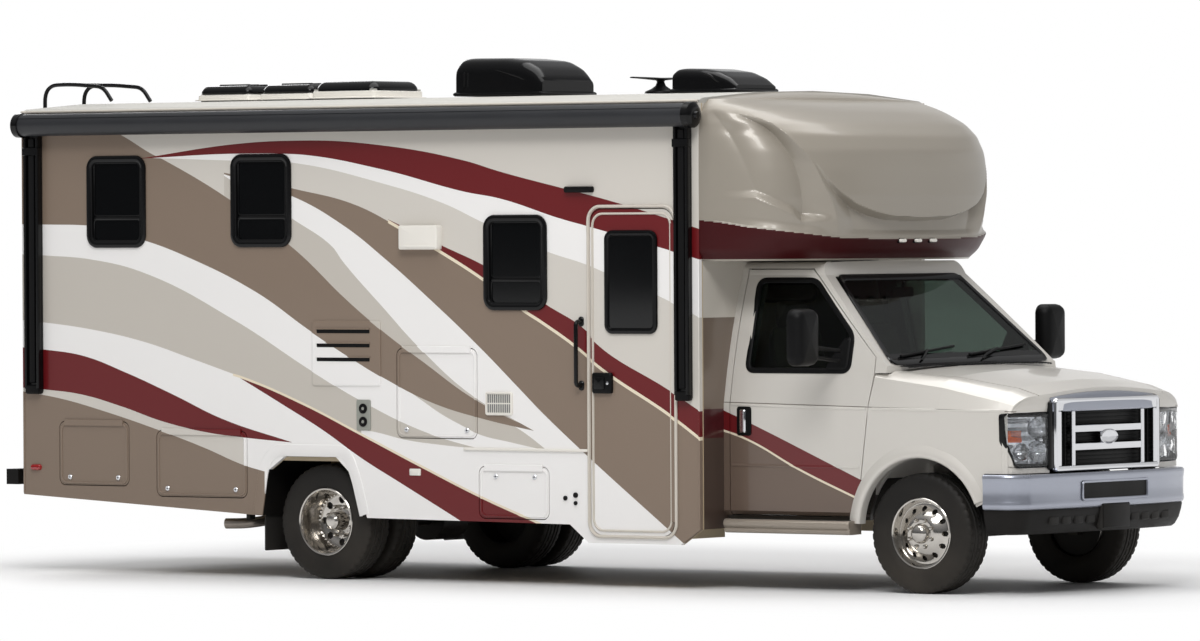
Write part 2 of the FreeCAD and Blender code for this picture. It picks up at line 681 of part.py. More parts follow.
def make_hatches():
    """Each hatch hangs from a barrel hinge along its top edge, just clear of the wall."""
    for name, side, rear, front, low, high in HATCHES:
        start = "side - hatch_thick" if side == "right" else "-side"
        panel = plate(name + "_panel", "XZ", start, "hatch_thick", (rear, front, low, high),
                      "hatch_corner")
        barrel_y = ("-side - hinge_radius - 0.3" if side == "right"
                    else "side + hinge_radius + 0.3")
        span = "(%s) - (%s) - 2 * hatch_corner" % (front, rear)
        barrel = rod(name + "_barrel", "X", rear + " + hatch_corner", barrel_y,
                     high + " + hinge_rise", "hinge_radius", span)
        near, far, seat = (("-side - 2 * hinge_radius - 0.3", "-side - 0.3", "-side")
                           if side == "right" else
                           ("side + 0.3", "side + 2 * hinge_radius + 0.3", "side"))
        leaf = box(name + "_leaf", rear + " + hatch_corner", front + " - hatch_corner",
                   near, far, high + " - 24", high + " + hinge_rise")
        root_low, root_high = (near, seat) if side == "right" else (seat, far)
        root = box(name + "_leaf_root", rear + " + hatch_corner", front + " - hatch_corner",
                   root_low, root_high, high + " - 24", high + " - 2")
        node(fuse(name + "_fused", [panel, barrel, leaf, root]), name)


def make_entry_door():
    sides = ("entry_rear", "entry_front", "entry_bottom", "entry_top")
    body = plate("entry_panel", "XZ", "inner_side", "wall", sides, "entry_corner")
    window = ("entry_rear + 124", "entry_front - 122", "1600", "2218")
    through_pocket(body, "entry_panel", "XZ", "inner_side + wall / 2", [(window, "50")])
    low, tall = "entry_bottom + entry_corner", "entry_top - entry_bottom - 2 * entry_corner"
    barrel = rod("entry_barrel", "Z", "entry_front + hinge_rise",
                 "-side - hinge_radius - 0.3", low, "hinge_radius", tall)
    near = "-side - 2 * hinge_radius - 0.3"
    leaf = box("entry_leaf", "entry_front - 14", "entry_front + hinge_rise", near,
               "-side - 0.3", low, low + " + " + tall)
    root = box("entry_leaf_root", "entry_front - 14", "entry_front - 2", near, "-side", low,
               low + " + " + tall)
    node(fuse("entry_door_fused", [body, barrel, leaf, root]), "entry_door")
    outer = plate("entry_window_outer", "XZ", "inner_side + 8", "wall - 2", window, "50")
    inside = ("entry_rear + 154", "entry_front - 152", "1630", "2188")
    hollow = plate("entry_window_hollow", "XZ", "inner_side", "20", inside, "30")
    node(cut("entry_window_cut", outer, [hollow]), "entry_window")


spaces = make_lockers()
make_floor(spaces)
for side, sign in SIDES:
    make_side_wall(side)
make_rear_wall()
make_bulkhead()
make_roof()
make_windows()
make_hatches()
make_entry_door()


# ----------------------------------------------------------------------------------------------
# Wheels, knuckles and steering wheel
# ----------------------------------------------------------------------------------------------
def tyre_profile(middle):
    """Half-round shoulders on a bulged section: (place along Y, radius)."""
    half = "tyre_width / 2"
    return tuple((middle + " + (%s) * (%s)" % (share, half), radius) for share, radius in (
        ("-0.72", "rim_radius"), ("-0.90", "rim_radius + 22"), ("-1", "rim_radius + 64"),
        ("-1", "rim_radius + 100"), ("-0.93", "tyre_radius - 26"), ("-0.78", "tyre_radius - 8"),
        ("-0.60", "tyre_radius"), ("0.60", "tyre_radius"), ("0.78", "tyre_radius - 8"),
        ("0.93", "tyre_radius - 26"), ("1", "rim_radius + 100"), ("1", "rim_radius + 64"),
        ("0.90", "rim_radius + 22"), ("0.72", "rim_radius")))


def front_rim_profile(sign):
    """A rim with its disc near the outer side and a domed hub: (place along Y, radius)."""
    half = "tyre_width / 2"
    bore = "spindle_radius + running_gap"
    points = (
        (0.72, "rim_radius"), (0.90, "rim_radius + 22"), (0.97, "rim_radius + 20"),
        (0.84, "rim_radius - 12"), (0.55, "rim_radius - 34"), (0.62, "rim_radius - 60"),
        (0.80, "112"), (0.86, "84"), (1.04, "70"), (1.16, "40"), (1.20, "0"),
        (0.98, "0"), (0.98, bore), (0.30, bore), (0.30, "70"), (0.48, "110"),
        (0.42, "rim_radius - 46"), (0.42, "rim_radius - 26"), (-0.72, "rim_radius - 18"),
        (-0.97, "rim_radius + 20"), (-0.90, "rim_radius + 22"), (-0.72, "rim_radius"))
    return tuple(("%s * %s * (%s)" % (sign, share, half), radius) for share, radius in points)


def rear_rim_profile(sign):
    """Twin rims bolted disc to disc, with a hub that stands out through the outer one."""
    bore = "spindle_radius + running_gap"
    reach = "dual_spacing / 2"
    half = "tyre_width / 2"
    points = (
        (reach + " + 0.72 * " + half, "rim_radius"),
        (reach + " + 0.90 * " + half, "rim_radius + 22"),
        (reach + " + 0.97 * " + half, "rim_radius + 20"),
        (reach + " + 0.72 * " + half, "rim_radius - 18"),
        ("62", "rim_radius - 30"), ("34", "rim_radius - 46"), ("20", "132"), ("20", "84"),
        ("62", "74"), ("92", "62"), ("104", "0"), ("92", "0"), ("92", bore),
        ("-40", bore), ("-40", "74"), ("-20", "84"), ("-20", "132"),
        ("-34", "rim_radius - 46"), ("-62", "rim_radius - 30"),
        ("-" + reach + " - 0.72 * " + half, "rim_radius - 18"),
        ("-" + reach + " - 0.97 * " + half, "rim_radius + 20"),
        ("-" + reach + " - 0.90 * " + half, "rim_radius + 22"),
        ("-" + reach + " - 0.72 * " + half, "rim_radius"),
        ("-" + reach + " + 0.72 * " + half, "rim_radius"),
        ("-64", "rim_radius - 16"), ("64", "rim_radius - 16"),
        (reach + " - 0.72 * " + half, "rim_radius"))
    return tuple(("%s * (%s)" % (sign, place), radius) for place, radius in points)


def make_wheels():
    for side, sign in SIDES:
        front_y = "%s * front_track / 2" % sign
        twin_y = "%s * (rear_outer_track - dual_spacing) / 2" % sign
        node(turned("front_tyre_" + side, "front_axle", front_y, "tyre_radius",
                    tyre_profile("0")), "front_tyre_" + side)
        node(turned("front_rim_" + side, "front_axle", front_y, "tyre_radius",
                    front_rim_profile(sign)), "front_rim_" + side)
        twins = [turned("rear_tyre_%s_%s" % (side, place), "rear_axle", twin_y, "tyre_radius",
                        tyre_profile(offset))
                 for place, offset in (("outer", sign + " * dual_spacing / 2"),
                                       ("inner", "-1 * %s * dual_spacing / 2" % sign))]
        node(group("rear_tyres_%s_pair" % side, twins), "rear_tyres_" + side)
        node(turned("rear_rims_" + side, "rear_axle", twin_y, "tyre_radius",
                    rear_rim_profile(sign)), "rear_rims_" + side)


def make_knuckles():
    """A forked knuckle round the axle's eye, with its kingpin and the wheel's spindle."""
    for side, sign in SIDES:
        eye = "%s * kingpin_track / 2" % sign
        low, high = ("%s - 40", "%s + 62") if side == "left" else ("%s - 62", "%s + 40")
        ear_low, ear_high = low % eye, high % eye
        web_low, web_high = (("%s + 46" % eye, "%s + 62" % eye) if side == "left"
                             else ("%s - 62" % eye, "%s - 46" % eye))
        ears = [box("knuckle_ear_%s_%s" % (side, place), "front_axle - 34", "front_axle + 34",
                    ear_low, ear_high, "tyre_radius + " + z0, "tyre_radius + " + z1)
                for place, z0, z1 in (("top", "46", "66"), ("bottom", "-66", "-46"))]
        web = box("knuckle_web_" + side, "front_axle - 34", "front_axle + 34", web_low, web_high,
                  "tyre_radius - 66", "tyre_radius + 66")
        pin = rod("kingpin_" + side, "Z", "front_axle", eye, "tyre_radius - 66",
                  "kingpin_radius", "132")
        reach = "front_track / 2 + 0.94 * tyre_width / 2 - kingpin_track / 2 - 46"
        start = ("kingpin_track / 2 + 46" if side == "left"
                 else "-kingpin_track / 2 - 46 - (%s)" % reach)
        spindle = rod("spindle_" + side, "Y", "front_axle", start, "tyre_radius",
                      "spindle_radius", reach)
        node(fuse("knuckle_%s_fused" % side, ears + [web, pin, spindle]), "knuckle_" + side)


make_wheels()
make_knuckles()


# ----------------------------------------------------------------------------------------------
# Cab: shell, doors, windshield, hood, fenders
# ----------------------------------------------------------------------------------------------
def prism(points, y0, y1):
    """A side view outline in X and Z, drawn out from y0 to y1."""
    wire = Part.makePolygon([Vector(x, y0, z) for x, z in points + points[:1]])
    return Part.Face(wire).extrude(Vector(0, y1 - y0, 0))


def block(x0, x1, y0, y1, z0, z1):
    return Part.makeBox(x1 - x0, y1 - y0, z1 - z0, Vector(x0, y0, z0))


def arc(a, b, c):
    return Part.Arc(a, b, c).toShape()


def line(a, b):
    return Part.makeLine(a, b)


def cab_section(x, inset, sill):
    """The cab's cross section: upright sides, then leaning in to a crowned roof."""
    wide = v.cab_half_width - inset
    roof_wide = v.cab_roof_half_width - inset
    top = v.cab_roof - inset
    belt = v.cab_belt
    edge = top - 85

    def at(y, z):
        return Vector(x, y, z)

    belt_wide = wide - v.crease_lean
    lean = 0.5 * (belt_wide + roof_wide) + 12
    corner = roof_wide - 26
    roof_start = roof_wide - 110
    edges = [
        line(at(-wide + 45, sill), at(wide - 45, sill)),
        line(at(wide - 45, sill), at(wide, sill + 50)),
        line(at(wide, sill + 50), at(wide, v.cab_crease)),
        line(at(wide, v.cab_crease), at(belt_wide, belt)),
        arc(at(belt_wide, belt), at(lean, (belt + edge) / 2), at(roof_wide, edge)),
        arc(at(roof_wide, edge), at(corner, top - 28), at(roof_start, top - 6)),
        arc(at(roof_start, top - 6), at(0, top), at(-roof_start, top - 6)),
        arc(at(-roof_start, top - 6), at(-corner, top - 28), at(-roof_wide, edge)),
        arc(at(-roof_wide, edge), at(-lean, (belt + edge) / 2), at(-belt_wide, belt)),
        line(at(-belt_wide, belt), at(-wide, v.cab_crease)),
        line(at(-wide, v.cab_crease), at(-wide, sill + 50)),
        line(at(-wide, sill + 50), at(-wide + 45, sill)),
    ]
    return Part.Wire(edges)


def cab_block(x0, x1, inset, sill):
    return Part.Face(cab_section(x0, inset, sill)).extrude(Vector(x1 - x0, 0, 0))


WINDSHIELD_FOOT = 1393
WINDSHIELD_HEAD = 1949


def ahead_of_windshield(back):
    """Everything in front of the windshield's plane, moved back by a distance."""
    foot = v.windshield_foot - back
    head = v.windshield_head - back
    top = v.cab_roof + 50
    return prism([(foot, WINDSHIELD_FOOT), (head, WINDSHIELD_HEAD), (head - 60, top),
                  (foot + 900, top), (foot + 900, WINDSHIELD_FOOT)], -1500, 1500)


def door_outline(grow):
    rear = v.cab_door_rear - grow
    axle = v.front_axle + grow
    low = v.door_bottom - grow
    head = v.cab_roof - 52 + grow
    return [(rear, low), (axle - 452, low), (axle - 430, 700), (axle - 350, 1340),
            (axle - 352, 1445), (axle - 926, head), (rear, head)]


def door_window():
    rear = v.cab_door_rear
    axle = v.front_axle
    sill = v.cab_belt + 10
    return [(rear + 110, sill), (axle - 545, sill), (axle - 545, 1576), (axle - 890, 1915),
            (rear + 96, 1915)]


# Sections of the front clip: (place ahead of the front axle, half width, bottom, height of the
# side's crease, height and half width where the side turns into the top, hood's half width,
# height of the hood's edge, height of its middle)
CLIP = (
    (-470, 985, 430, 1150, 1330, 947, 860, 1372, 1398),
    (-344, 985, 430, 1150, 1324, 947, 850, 1366, 1394),
    (150, 985, 430, 1138, 1262, 940, 818, 1322, 1362),
    (560, 962, 600, 1122, 1178, 926, 770, 1252, 1300),
    (748, 930, 742, 1108, 1132, 912, 700, 1196, 1240),
)


def clip_section(row, inset):
    ahead, wide, bottom, crease, turn, turn_wide, hood_wide, hood_edge, middle = row
    x = v.front_axle + ahead
    wide, turn_wide, hood_wide = wide - inset, turn_wide - inset, hood_wide - inset
    turn, hood_edge, middle = turn - inset * 0.6, hood_edge - inset, middle - inset

    def at(y, z):
        return Vector(x, y, z)

    side = 0.5 * (turn_wide + hood_wide) + 12
    rise = 0.5 * (turn + hood_edge) + 10
    return Part.Wire([
        line(at(-wide, bottom), at(wide, bottom)),
        line(at(wide, bottom), at(wide, crease)),
        line(at(wide, crease), at(turn_wide, turn)),
        arc(at(turn_wide, turn), at(side, rise), at(hood_wide, hood_edge)),
        arc(at(hood_wide, hood_edge), at(0, middle), at(-hood_wide, hood_edge)),
        arc(at(-hood_wide, hood_edge), at(-side, rise), at(-turn_wide, turn)),
        line(at(-turn_wide, turn), at(-wide, crease)),
        line(at(-wide, crease), at(-wide, bottom)),
    ])


def clip_front():
    """The bowed front of the clip, seen from above: everything behind it."""
    x = v.front_axle
    edges = [arc(Vector(x + 640, -1000, 0), Vector(x + 742, 0, 0), Vector(x + 640, 1000, 0)),
             line(Vector(x + 640, 1000, 0), Vector(x - 500, 1000, 0)),
             line(Vector(x - 500, 1000, 0), Vector(x - 500, -1000, 0)),
             line(Vector(x - 500, -1000, 0), Vector(x + 640, -1000, 0))]
    return Part.Face(Part.Wire(edges)).extrude(Vector(0, 0, 2000))


def hood_plan(grow):
    x = v.front_axle
    rear = x - 186 - grow
    front = v.grille_face - 14 + 8 * grow
    back = 824 + 2 * grow
    points = [(rear, -back), (front, -690 - grow), (front, 690 + grow), (rear, back)]
    wire = Part.makePolygon([Vector(a, b, 1100) for a, b in points + points[:1]])
    return Part.Face(wire).extrude(Vector(0, 0, 600))


def wheel_house(radius, y0, y1):
    return Part.makeCylinder(radius, y1 - y0, Vector(v.front_axle, y0, v.tyre_radius + 30),
                             Vector(0, 1, 0))


COWL_HALF = 862
DOOR_PIN = 2.4
HOOD_PIN = 2.4
PIN_PLAY = 0.05


def door_pin(sign, play):
    """The pin a cab door turns on, upright in the gap ahead of the door's raked edge."""
    foot = Vector(v.front_axle - 375.5, sign * (v.cab_half_width - 3), 1060 - 10 * play)
    return Part.makeCylinder(DOOR_PIN + play, 90 + 20 * play, foot)


def hood_hinges(for_hood):
    """Pins with their leaves on the hood, or the knuckles on the cowl that hold them."""
    x = v.front_axle - 189
    z = 1379.5
    pieces = []
    for start in (-260, 150):
        if for_hood:
            pieces.append(Part.makeCylinder(HOOD_PIN, 110, Vector(x, start, z), Vector(0, 1, 0)))
            pieces.append(block(x, x + 12, start + 36, start + 74, z - 2, z + 2))
        else:
            for near in (start, start + 75):
                knuckle = block(x - 12, x + 0.6, near, near + 35, z - 3.4, z + 2.9)
                bore = Part.makeCylinder(HOOD_PIN + PIN_PLAY, 40, Vector(x, near - 2, z),
                                         Vector(0, 1, 0))
                pieces.append(knuckle.cut(bore))
    return pieces


def make_cab():
    outer = cab_block(v.house_front, v.windshield_foot + 4, 0, v.cab_sill)
    inner = cab_block(v.house_front - 1, v.windshield_foot - 36, v.cab_wall, v.cab_floor)
    inner = inner.cut(ahead_of_windshield(48))
    shell = outer.cut(ahead_of_windshield(0)).cut(inner)
    tunnel = block(v.house_front - 1, v.nose, -v.cab_half_width + 150, v.cab_half_width - 150,
                   v.cab_sill - 1, v.rail_top)
    shell = shell.cut(tunnel)
    clip_hull = Part.makeLoft([clip_section(row, 0) for row in CLIP], True, True)
    clip_void = Part.makeLoft([clip_section(row, 22) for row in CLIP], True, True)
    clip_void = clip_void.fuse(block(v.front_axle - 600, v.nose + 100, -960, 960, 300, 1000))
    skin = clip_hull.cut(clip_void).common(clip_front())
    fender_zone = block(v.fender_rear - 130, v.nose, COWL_HALF, 1100, 300, v.cab_belt - 4)
    for zone in (fender_zone, fender_zone.mirror(Vector(), Vector(0, 1, 0))):
        shell = shell.cut(zone)
    cowl = skin.common(block(v.windshield_foot - 36, v.front_axle - 192, -COWL_HALF,
                             COWL_HALF, 1000, 1500))
    shell = shell.fuse(cowl)
    door_reach = v.cab_roof_half_width - 126
    for side in (-1, 1):
        near, far = (-1100, -door_reach) if side < 0 else (door_reach, 1100)
        shell = shell.cut(prism(door_outline(v.panel_gap), near, far))
        arch = wheel_house(446, *((-1100, -v.rail_side - 8) if side < 0 else
                                  (v.rail_side + 8, 1100)))
        shell = shell.cut(arch)
    shell = shell.fuse(hood_hinges(False))
    foot = v.windshield_foot
    head = v.windshield_head
    glass_face = Part.Face(Part.makePolygon([
        Vector(foot - 14, -872, WINDSHIELD_FOOT + 14), Vector(head + 14, -690, WINDSHIELD_HEAD - 14),
        Vector(head + 14, 690, WINDSHIELD_HEAD - 14), Vector(foot - 14, 872, WINDSHIELD_FOOT + 14),
        Vector(foot - 14, -872, WINDSHIELD_FOOT + 14)]))
    slope = Vector(WINDSHIELD_HEAD - WINDSHIELD_FOOT, 0, foot - head).normalize()
    hole = glass_face.extrude(slope * 80)
    hole.translate(slope * -70)
    shell = shell.cut(hole)
    pane = glass_face.extrude(slope * v.glass_thick)
    pane.translate(slope * -12)
    shell = shell.removeSplitter()
    node(solid("cab_body_shape", shell), "cab_body")
    node(solid("windshield_shape", pane), "windshield")

    ring = cab_block(v.house_front, v.front_axle, 0, v.cab_sill).cut(
        cab_block(v.house_front - 1, v.front_axle + 1, v.cab_wall, v.cab_sill - 60))
    pane_outside = cab_block(v.house_front, v.front_axle, 14, v.cab_sill)
    pane_inside = cab_block(v.house_front - 1, v.front_axle + 1, 14 + v.glass_thick,
                            v.cab_sill - 60)
    glass_shell = pane_outside.cut(pane_inside)
    hull = cab_block(v.house_front, v.front_axle, 0, v.cab_sill)
    for side, sign in SIDES:
        near, far = ((-1100, -door_reach - v.panel_gap) if side == "right"
                     else (door_reach + v.panel_gap, 1100))
        door = ring.common(prism(door_outline(0), near, far))
        door = door.common(block(v.house_front, v.front_axle, near, far, 0, v.cab_roof - 46))
        arch = wheel_house(452, near, far)
        door = door.cut(prism(door_window(), near, far)).cut(arch)
        door = door.fuse(door_pin(sign_of(side), 0)).removeSplitter()
        node(solid("cab_door_%s_shape" % side, door), "cab_door_" + side)
        pane = glass_shell.common(prism(door_window(), near, far)).removeSplitter()
        node(solid("cab_door_glass_%s_shape" % side, pane), "cab_door_glass_" + side)
        reach = (-1500, -1260) if side == "right" else (1260, 1500)
        arm = (-1290, -900) if side == "right" else (900, 1290)
        head_block = block(v.front_axle - 655, v.front_axle - 525, *reach, 1400, 1745)
        head_block = head_block.makeFillet(26, head_block.Edges)
        bars = [block(v.front_axle - 540, v.front_axle - 505, *arm, z, z + 34)
                for z in (1418, 1478)]
        mirror = head_block.fuse(bars).cut(hull).removeSplitter()
        node(solid("mirror_%s_shape" % side, mirror), "mirror_" + side)

    bonnet = skin.common(hood_plan(0)).fuse(hood_hinges(True)).removeSplitter()
    node(solid("hood_shape", bonnet), "hood")
    lamp_blocks = [block(v.front_axle + 528, v.nose, v.grille_half_width, 1000, 772, 1110),
                   block(v.front_axle + 528, v.nose, -1000, -v.grille_half_width, 772, 1110)]
    lamp_core = clip_hull.common(clip_front())
    lamps = [lamp_core.common(lamp).cut(block(0, v.front_axle + 590, -900, 900, 0, 2000))
             for lamp in lamp_blocks]
    node(solid("headlamps_shape", Part.makeCompound(lamps)), "headlamps")
    fenders = []
    for near, far in ((-1100, -1), (1, 1100)):
        side_skin = skin.cut(prism(door_outline(v.panel_gap), near, far))
        side_skin = side_skin.common(block(v.fender_rear - 130, v.nose, near, far, 300, 1500))
        upper = block(v.fender_rear - 200, v.windshield_foot + 12, near, far,
                      v.cab_belt - 4 - v.panel_gap, 1500)
        low_front = block(v.nose - 330, v.nose, near, far, 300, v.bumper_top + 4)
        side_skin = side_skin.cut(hood_plan(v.panel_gap)).cut(upper).cut(low_front)
        inward = block(v.front_axle - 600, v.front_axle - 186 - v.panel_gap,
                       -COWL_HALF, COWL_HALF, 1000, 1500)
        side_skin = side_skin.cut(inward)
        for lamp in lamp_blocks:
            side_skin = side_skin.cut(lamp)
        side_skin = side_skin.cut(wheel_house(436, near, far))
        side_skin = side_skin.cut(door_pin(-1 if near < 0 else 1, PIN_PLAY))
        liner_near, liner_far = ((-970, -v.rail_side - 30) if near < 0
                                 else (v.rail_side + 30, 970))
        liner = wheel_house(446, liner_near, liner_far).cut(wheel_house(440, near, far))
        liner = liner.common(block(v.fender_rear - 80, v.nose - 330, near, far,
                                   v.bumper_top + 4, 1500))
        fenders.append(side_skin.fuse(liner))
    node(solid("fenders_shape", Part.makeCompound(fenders)), "fenders")


make_cab()


# ----------------------------------------------------------------------------------------------
# Front end: bumper, valance, grille; inside the cab: dashboard, seats, steering wheel
# ----------------------------------------------------------------------------------------------
def bumper_outline(step):
    """A bumper seen from above, set back by a step: (X, Y) round its bowed face and ends."""
    w = "(bumper_half_width - %s)" % step
    n = "(nose - %s)" % step
    right = ((n + " - 322", "-" + w), (n + " - 165", "-" + w + " + 10"),
             (n + " - 66", "-" + w + " + 95"), (n + " - 20", "-" + w + " + 360"),
             (n, "-" + w + " + 700"))
    left = tuple((x, y.replace("-(", "(").replace(" + ", " - ")) for x, y in reversed(right))
    back = ("nose - bumper_thick", "bumper_half_width - 230")
    inner = ((n + " - 322", w + " - 50"), (n + " - 180", w + " - 62"), back,
             (back[0], "-bumper_half_width + 230"), (n + " - 180", "-" + w + " + 62"),
             (n + " - 322", "-" + w + " + 50"))
    return right + left + inner


GRILLE_BARS = (  # columns of openings: from, to (share of the half width)
    (-0.90, -0.64), (-0.585, 0.585), (0.64, 0.90))


def make_front():
    bumper = plate("bumper_bar", "XY", "bumper_bottom", "bumper_top - bumper_bottom",
                   bumper_outline("0"))
    slot = box("bumper_slot", "nose - 200", "nose + 10", "-365", "365", "bumper_bottom + 52",
               "bumper_top - 62")
    node(cut("front_bumper_cut", bumper, [slot]), "front_bumper")
    valance = plate("valance_bar", "XY", "bumper_bottom - 152", "152", bumper_outline("6"))
    plate_holder = box("plate_holder", "nose - 14", "nose", "-160", "160",
                       "bumper_bottom - 150", "bumper_bottom - 8")
    holes = [rod("plate_hole_%d" % i, "X", "nose - 30", y, z, "3.5", "50")
             for i, (y, z) in enumerate(((y, z) for y in ("-89", "89") for z in
                                         ("bumper_bottom - 139.5", "bumper_bottom - 18.5")), 1)]
    node(cut("front_valance_cut", fuse("valance_fused", [valance, plate_holder]), holes),
         "front_valance")

    w = "grille_half_width"
    face = box("grille_block", "grille_face - 8", "grille_face + 26", "-" + w, w,
               "bumper_top + seat_gap", "grille_top")
    pockets = []
    rows = 5
    pitch = "((grille_top - grille_bottom - 76) / %d)" % rows
    for column, (low, high) in enumerate(GRILLE_BARS, start=1):
        for row in range(rows):
            z = "grille_bottom + 38 + %d * %s" % (row, pitch)
            pockets.append(box("grille_pocket_%d_%d" % (column, row), "grille_face",
                               "grille_face + 40", "%s * %s" % (low, w), "%s * %s" % (high, w),
                               z + " + 7", z + " + %s - 7" % pitch))
    node(cut("grille_cut", face, pockets), "grille")


def make_running_boards():
    boards = []
    for side, sign in SIDES:
        low, high = (("-cab_half_width - 92", "-cab_half_width + 70") if side == "right"
                     else ("cab_half_width - 70", "cab_half_width + 92"))
        tread = box("tread_" + side, "cab_door_rear", "front_axle - 462", low, high,
                    "cab_sill - 88", "cab_sill - 46")
        hangers = [box("tread_hanger_%s_%d" % (side, i), x, x + " + 50",
                       "%s * (cab_half_width - 70) - 20" % sign,
                       "%s * (cab_half_width - 70) + 20" % sign, "cab_sill - 50", "cab_sill")
                   for i, x in enumerate(("cab_door_rear + 100", "front_axle - 620"), start=1)]
        boards.append(fuse("running_board_" + side, [tread] + hangers))
    node(group("running_boards_grouped", boards), "running_boards")


WHEEL_LEAN = 62  # the steering wheel's axis, degrees from upright


def make_dashboard():
    rear_face = v.windshield_foot - 36
    points = [(rear_face, 960), (rear_face, v.cab_belt - 10), (rear_face - 90, v.cab_belt - 6),
              (rear_face - 250, v.cab_belt - 60), (rear_face - 330, v.cab_belt - 170),
              (rear_face - 250, 960)]
    half = COWL_HALF - v.panel_gap
    dash = prism(points, -half, half)
    lean = math.radians(WHEEL_LEAN)
    axis = Vector(-math.sin(lean), 0, math.cos(lean))
    hub = steering_hub()
    column = Part.makeCylinder(34, 336 - v.seat_gap, hub - axis * 372, axis)
    trimmed = dash.fuse(column).cut(block(rear_face, rear_face + 600, -900, 900, 0, 2000))
    node(solid("dashboard_shape", trimmed), "dashboard")
    rim = Part.makeTorus(188, 15, hub, axis)
    boss = Part.makeCylinder(58, 36, hub - axis * 36, axis)
    spokes = []
    across = Vector(0, 1, 0)
    upward = axis.cross(across)
    for angle in (0, 120, 240):
        turn = math.radians(angle + 90)
        out = across * math.cos(turn) + upward * math.sin(turn)
        spokes.append(Part.makeCylinder(11, 152, hub - axis * 3 + out * 36, out))
    wheel = rim.fuse([boss] + spokes).removeSplitter()
    node(solid("steering_wheel_shape", wheel), "steering_wheel")


def steering_hub():
    return Vector(v.front_axle - 800, 420, 1275)


def make_seats():
    seats = []
    for side, sign in (("right", -1), ("left", 1)):
        middle = sign * 430
        x = v.front_axle - 1310
        base = block(x + 60, x + 420, middle - 190, middle + 190, v.cab_floor, v.cab_floor + 200)
        cushion = block(x, x + 490, middle - 240, middle + 240, v.cab_floor + 200,
                        v.cab_floor + 330)
        back = prism([(x, v.cab_floor + 200), (x + 120, v.cab_floor + 200),
                      (x + 20, v.cab_floor + 900), (x - 90, v.cab_floor + 900)],
                     middle - 235, middle + 235)
        head = block(x - 88, x + 8, middle - 120, middle + 120, v.cab_floor + 900,
                     v.cab_floor + 1080)
        seats.append(base.fuse([cushion, back, head]).removeSplitter())
    node(solid("cab_seats_shape", Part.makeCompound(seats)), "cab_seats")


make_front()
make_running_boards()
make_dashboard()
make_seats()

# ----------------------------------------------------------------------------------------------
# Front cap over the cab
# ----------------------------------------------------------------------------------------------
CAP = (  # height over the bunk deck, reach ahead of the house, half width
    (0, 660, 1190), (150, 815, 1240), (410, 830, 1240), (690, 730, 1240), (880, 480, 1240),
    (980, 170, 1240))


def cap_section(row, inset):
    """Half an ellipse in plan, closed across the house's front."""
    rise, reach, half = row
    x = v.house_front
    z = v.cap_bottom + rise
    reach = reach - inset
    half = half - inset
    tip = Vector(x + reach, 0, z)
    left = Vector(x, half, z)
    right = Vector(x, -half, z)
    share = math.sqrt(0.5)
    left_bend = Vector(x + reach * share, half * share, z)
    right_bend = Vector(x + reach * share, -half * share, z)
    return Part.Wire([arc(left, left_bend, tip), arc(tip, right_bend, right), line(right, left)])


def make_cap():
    outer = Part.makeLoft([cap_section(row, 0) for row in CAP], True, True)
    rows = [(max(rise, v.cap_shell) if i == 0 else rise - (v.cap_shell if i == len(CAP) - 1
                                                          else 0), reach, half)
            for i, (rise, reach, half) in enumerate(CAP)]
    inner = Part.makeLoft([cap_section(row, v.cap_shell) for row in rows], True, True)
    mouth = block(v.house_front - 1, v.house_front + 1, -1100, 1100, v.cap_bottom + 45,
                  v.wall_top - 60)
    cap = outer.cut(inner).cut(mouth).removeSplitter()
    node(solid("front_cap_shape", cap), "front_cap")


make_cap()

# ----------------------------------------------------------------------------------------------
# What is fitted outside: awning, roof units, ladder, rear bumper, lamps and side fittings
# ----------------------------------------------------------------------------------------------
def make_awning():
    y = "-side - awning_radius - 8"
    z = "wall_top - 80"
    roll = rod("awning_roll", "X", "house_rear + 27", y, z, "awning_radius",
               "house_front - house_rear - 2")
    arms = []
    for name, x in (("rear_arm", "house_rear + 84"), ("front_arm", "house_front - 136")):
        arms.append(box(name, x, x + " + arm_width", "-side - arm_deep", "-side", "1180",
                        "wall_top - 60"))
        arms.append(box(name + "_bracket", x, x + " + arm_width", "-side - awning_radius - 8",
                        "-side", "wall_top - 170", "wall_top - 40"))
    node(fuse("awning_fused", [roll] + arms), "awning")


def make_roof_units():
    rear = box("rear_air_unit_base", "front_axle - 4090", "front_axle - 3390", "-300", "300",
               "wall_top + 20", "roof_top + 235")
    rear_shaped = doc.addObject("Part::Fillet", "rear_air_unit")
    rear_shaped.Base = rear
    rear_shaped.Edges = [(6, 60, 60), (8, 60, 60), (12, 60, 60)]
    front = box("front_air_unit_base", "front_axle - 2400", "front_axle - 1900", "-230", "230",
                "wall_top + 20", "roof_top + 165")
    front_shaped = doc.addObject("Part::Fillet", "front_air_unit")
    front_shaped.Base = front
    front_shaped.Edges = [(6, 50, 50), (8, 50, 50), (12, 50, 50)]
    roof = [n for n in NODES if n.Label == "house_roof"][0]
    units = cut("roof_air_units_cut", fuse("roof_air_units_fused", [rear_shaped, front_shaped]),
                [roof])
    node(units, "roof_air_units")


def make_antenna():
    x = "front_axle - 2650"
    foot = rod("antenna_foot", "Z", x, "0", "roof_top + seat_gap", "62", "26")
    mast = rod("antenna_mast", "Z", x, "0", "roof_top + seat_gap", "17", "150")
    bar = box("antenna_bar", x + " - 30", x + " + 30", "-250", "250", "roof_top + 130",
              "roof_top + 154")
    node(fuse("antenna_fused", [foot, mast, bar]), "antenna")


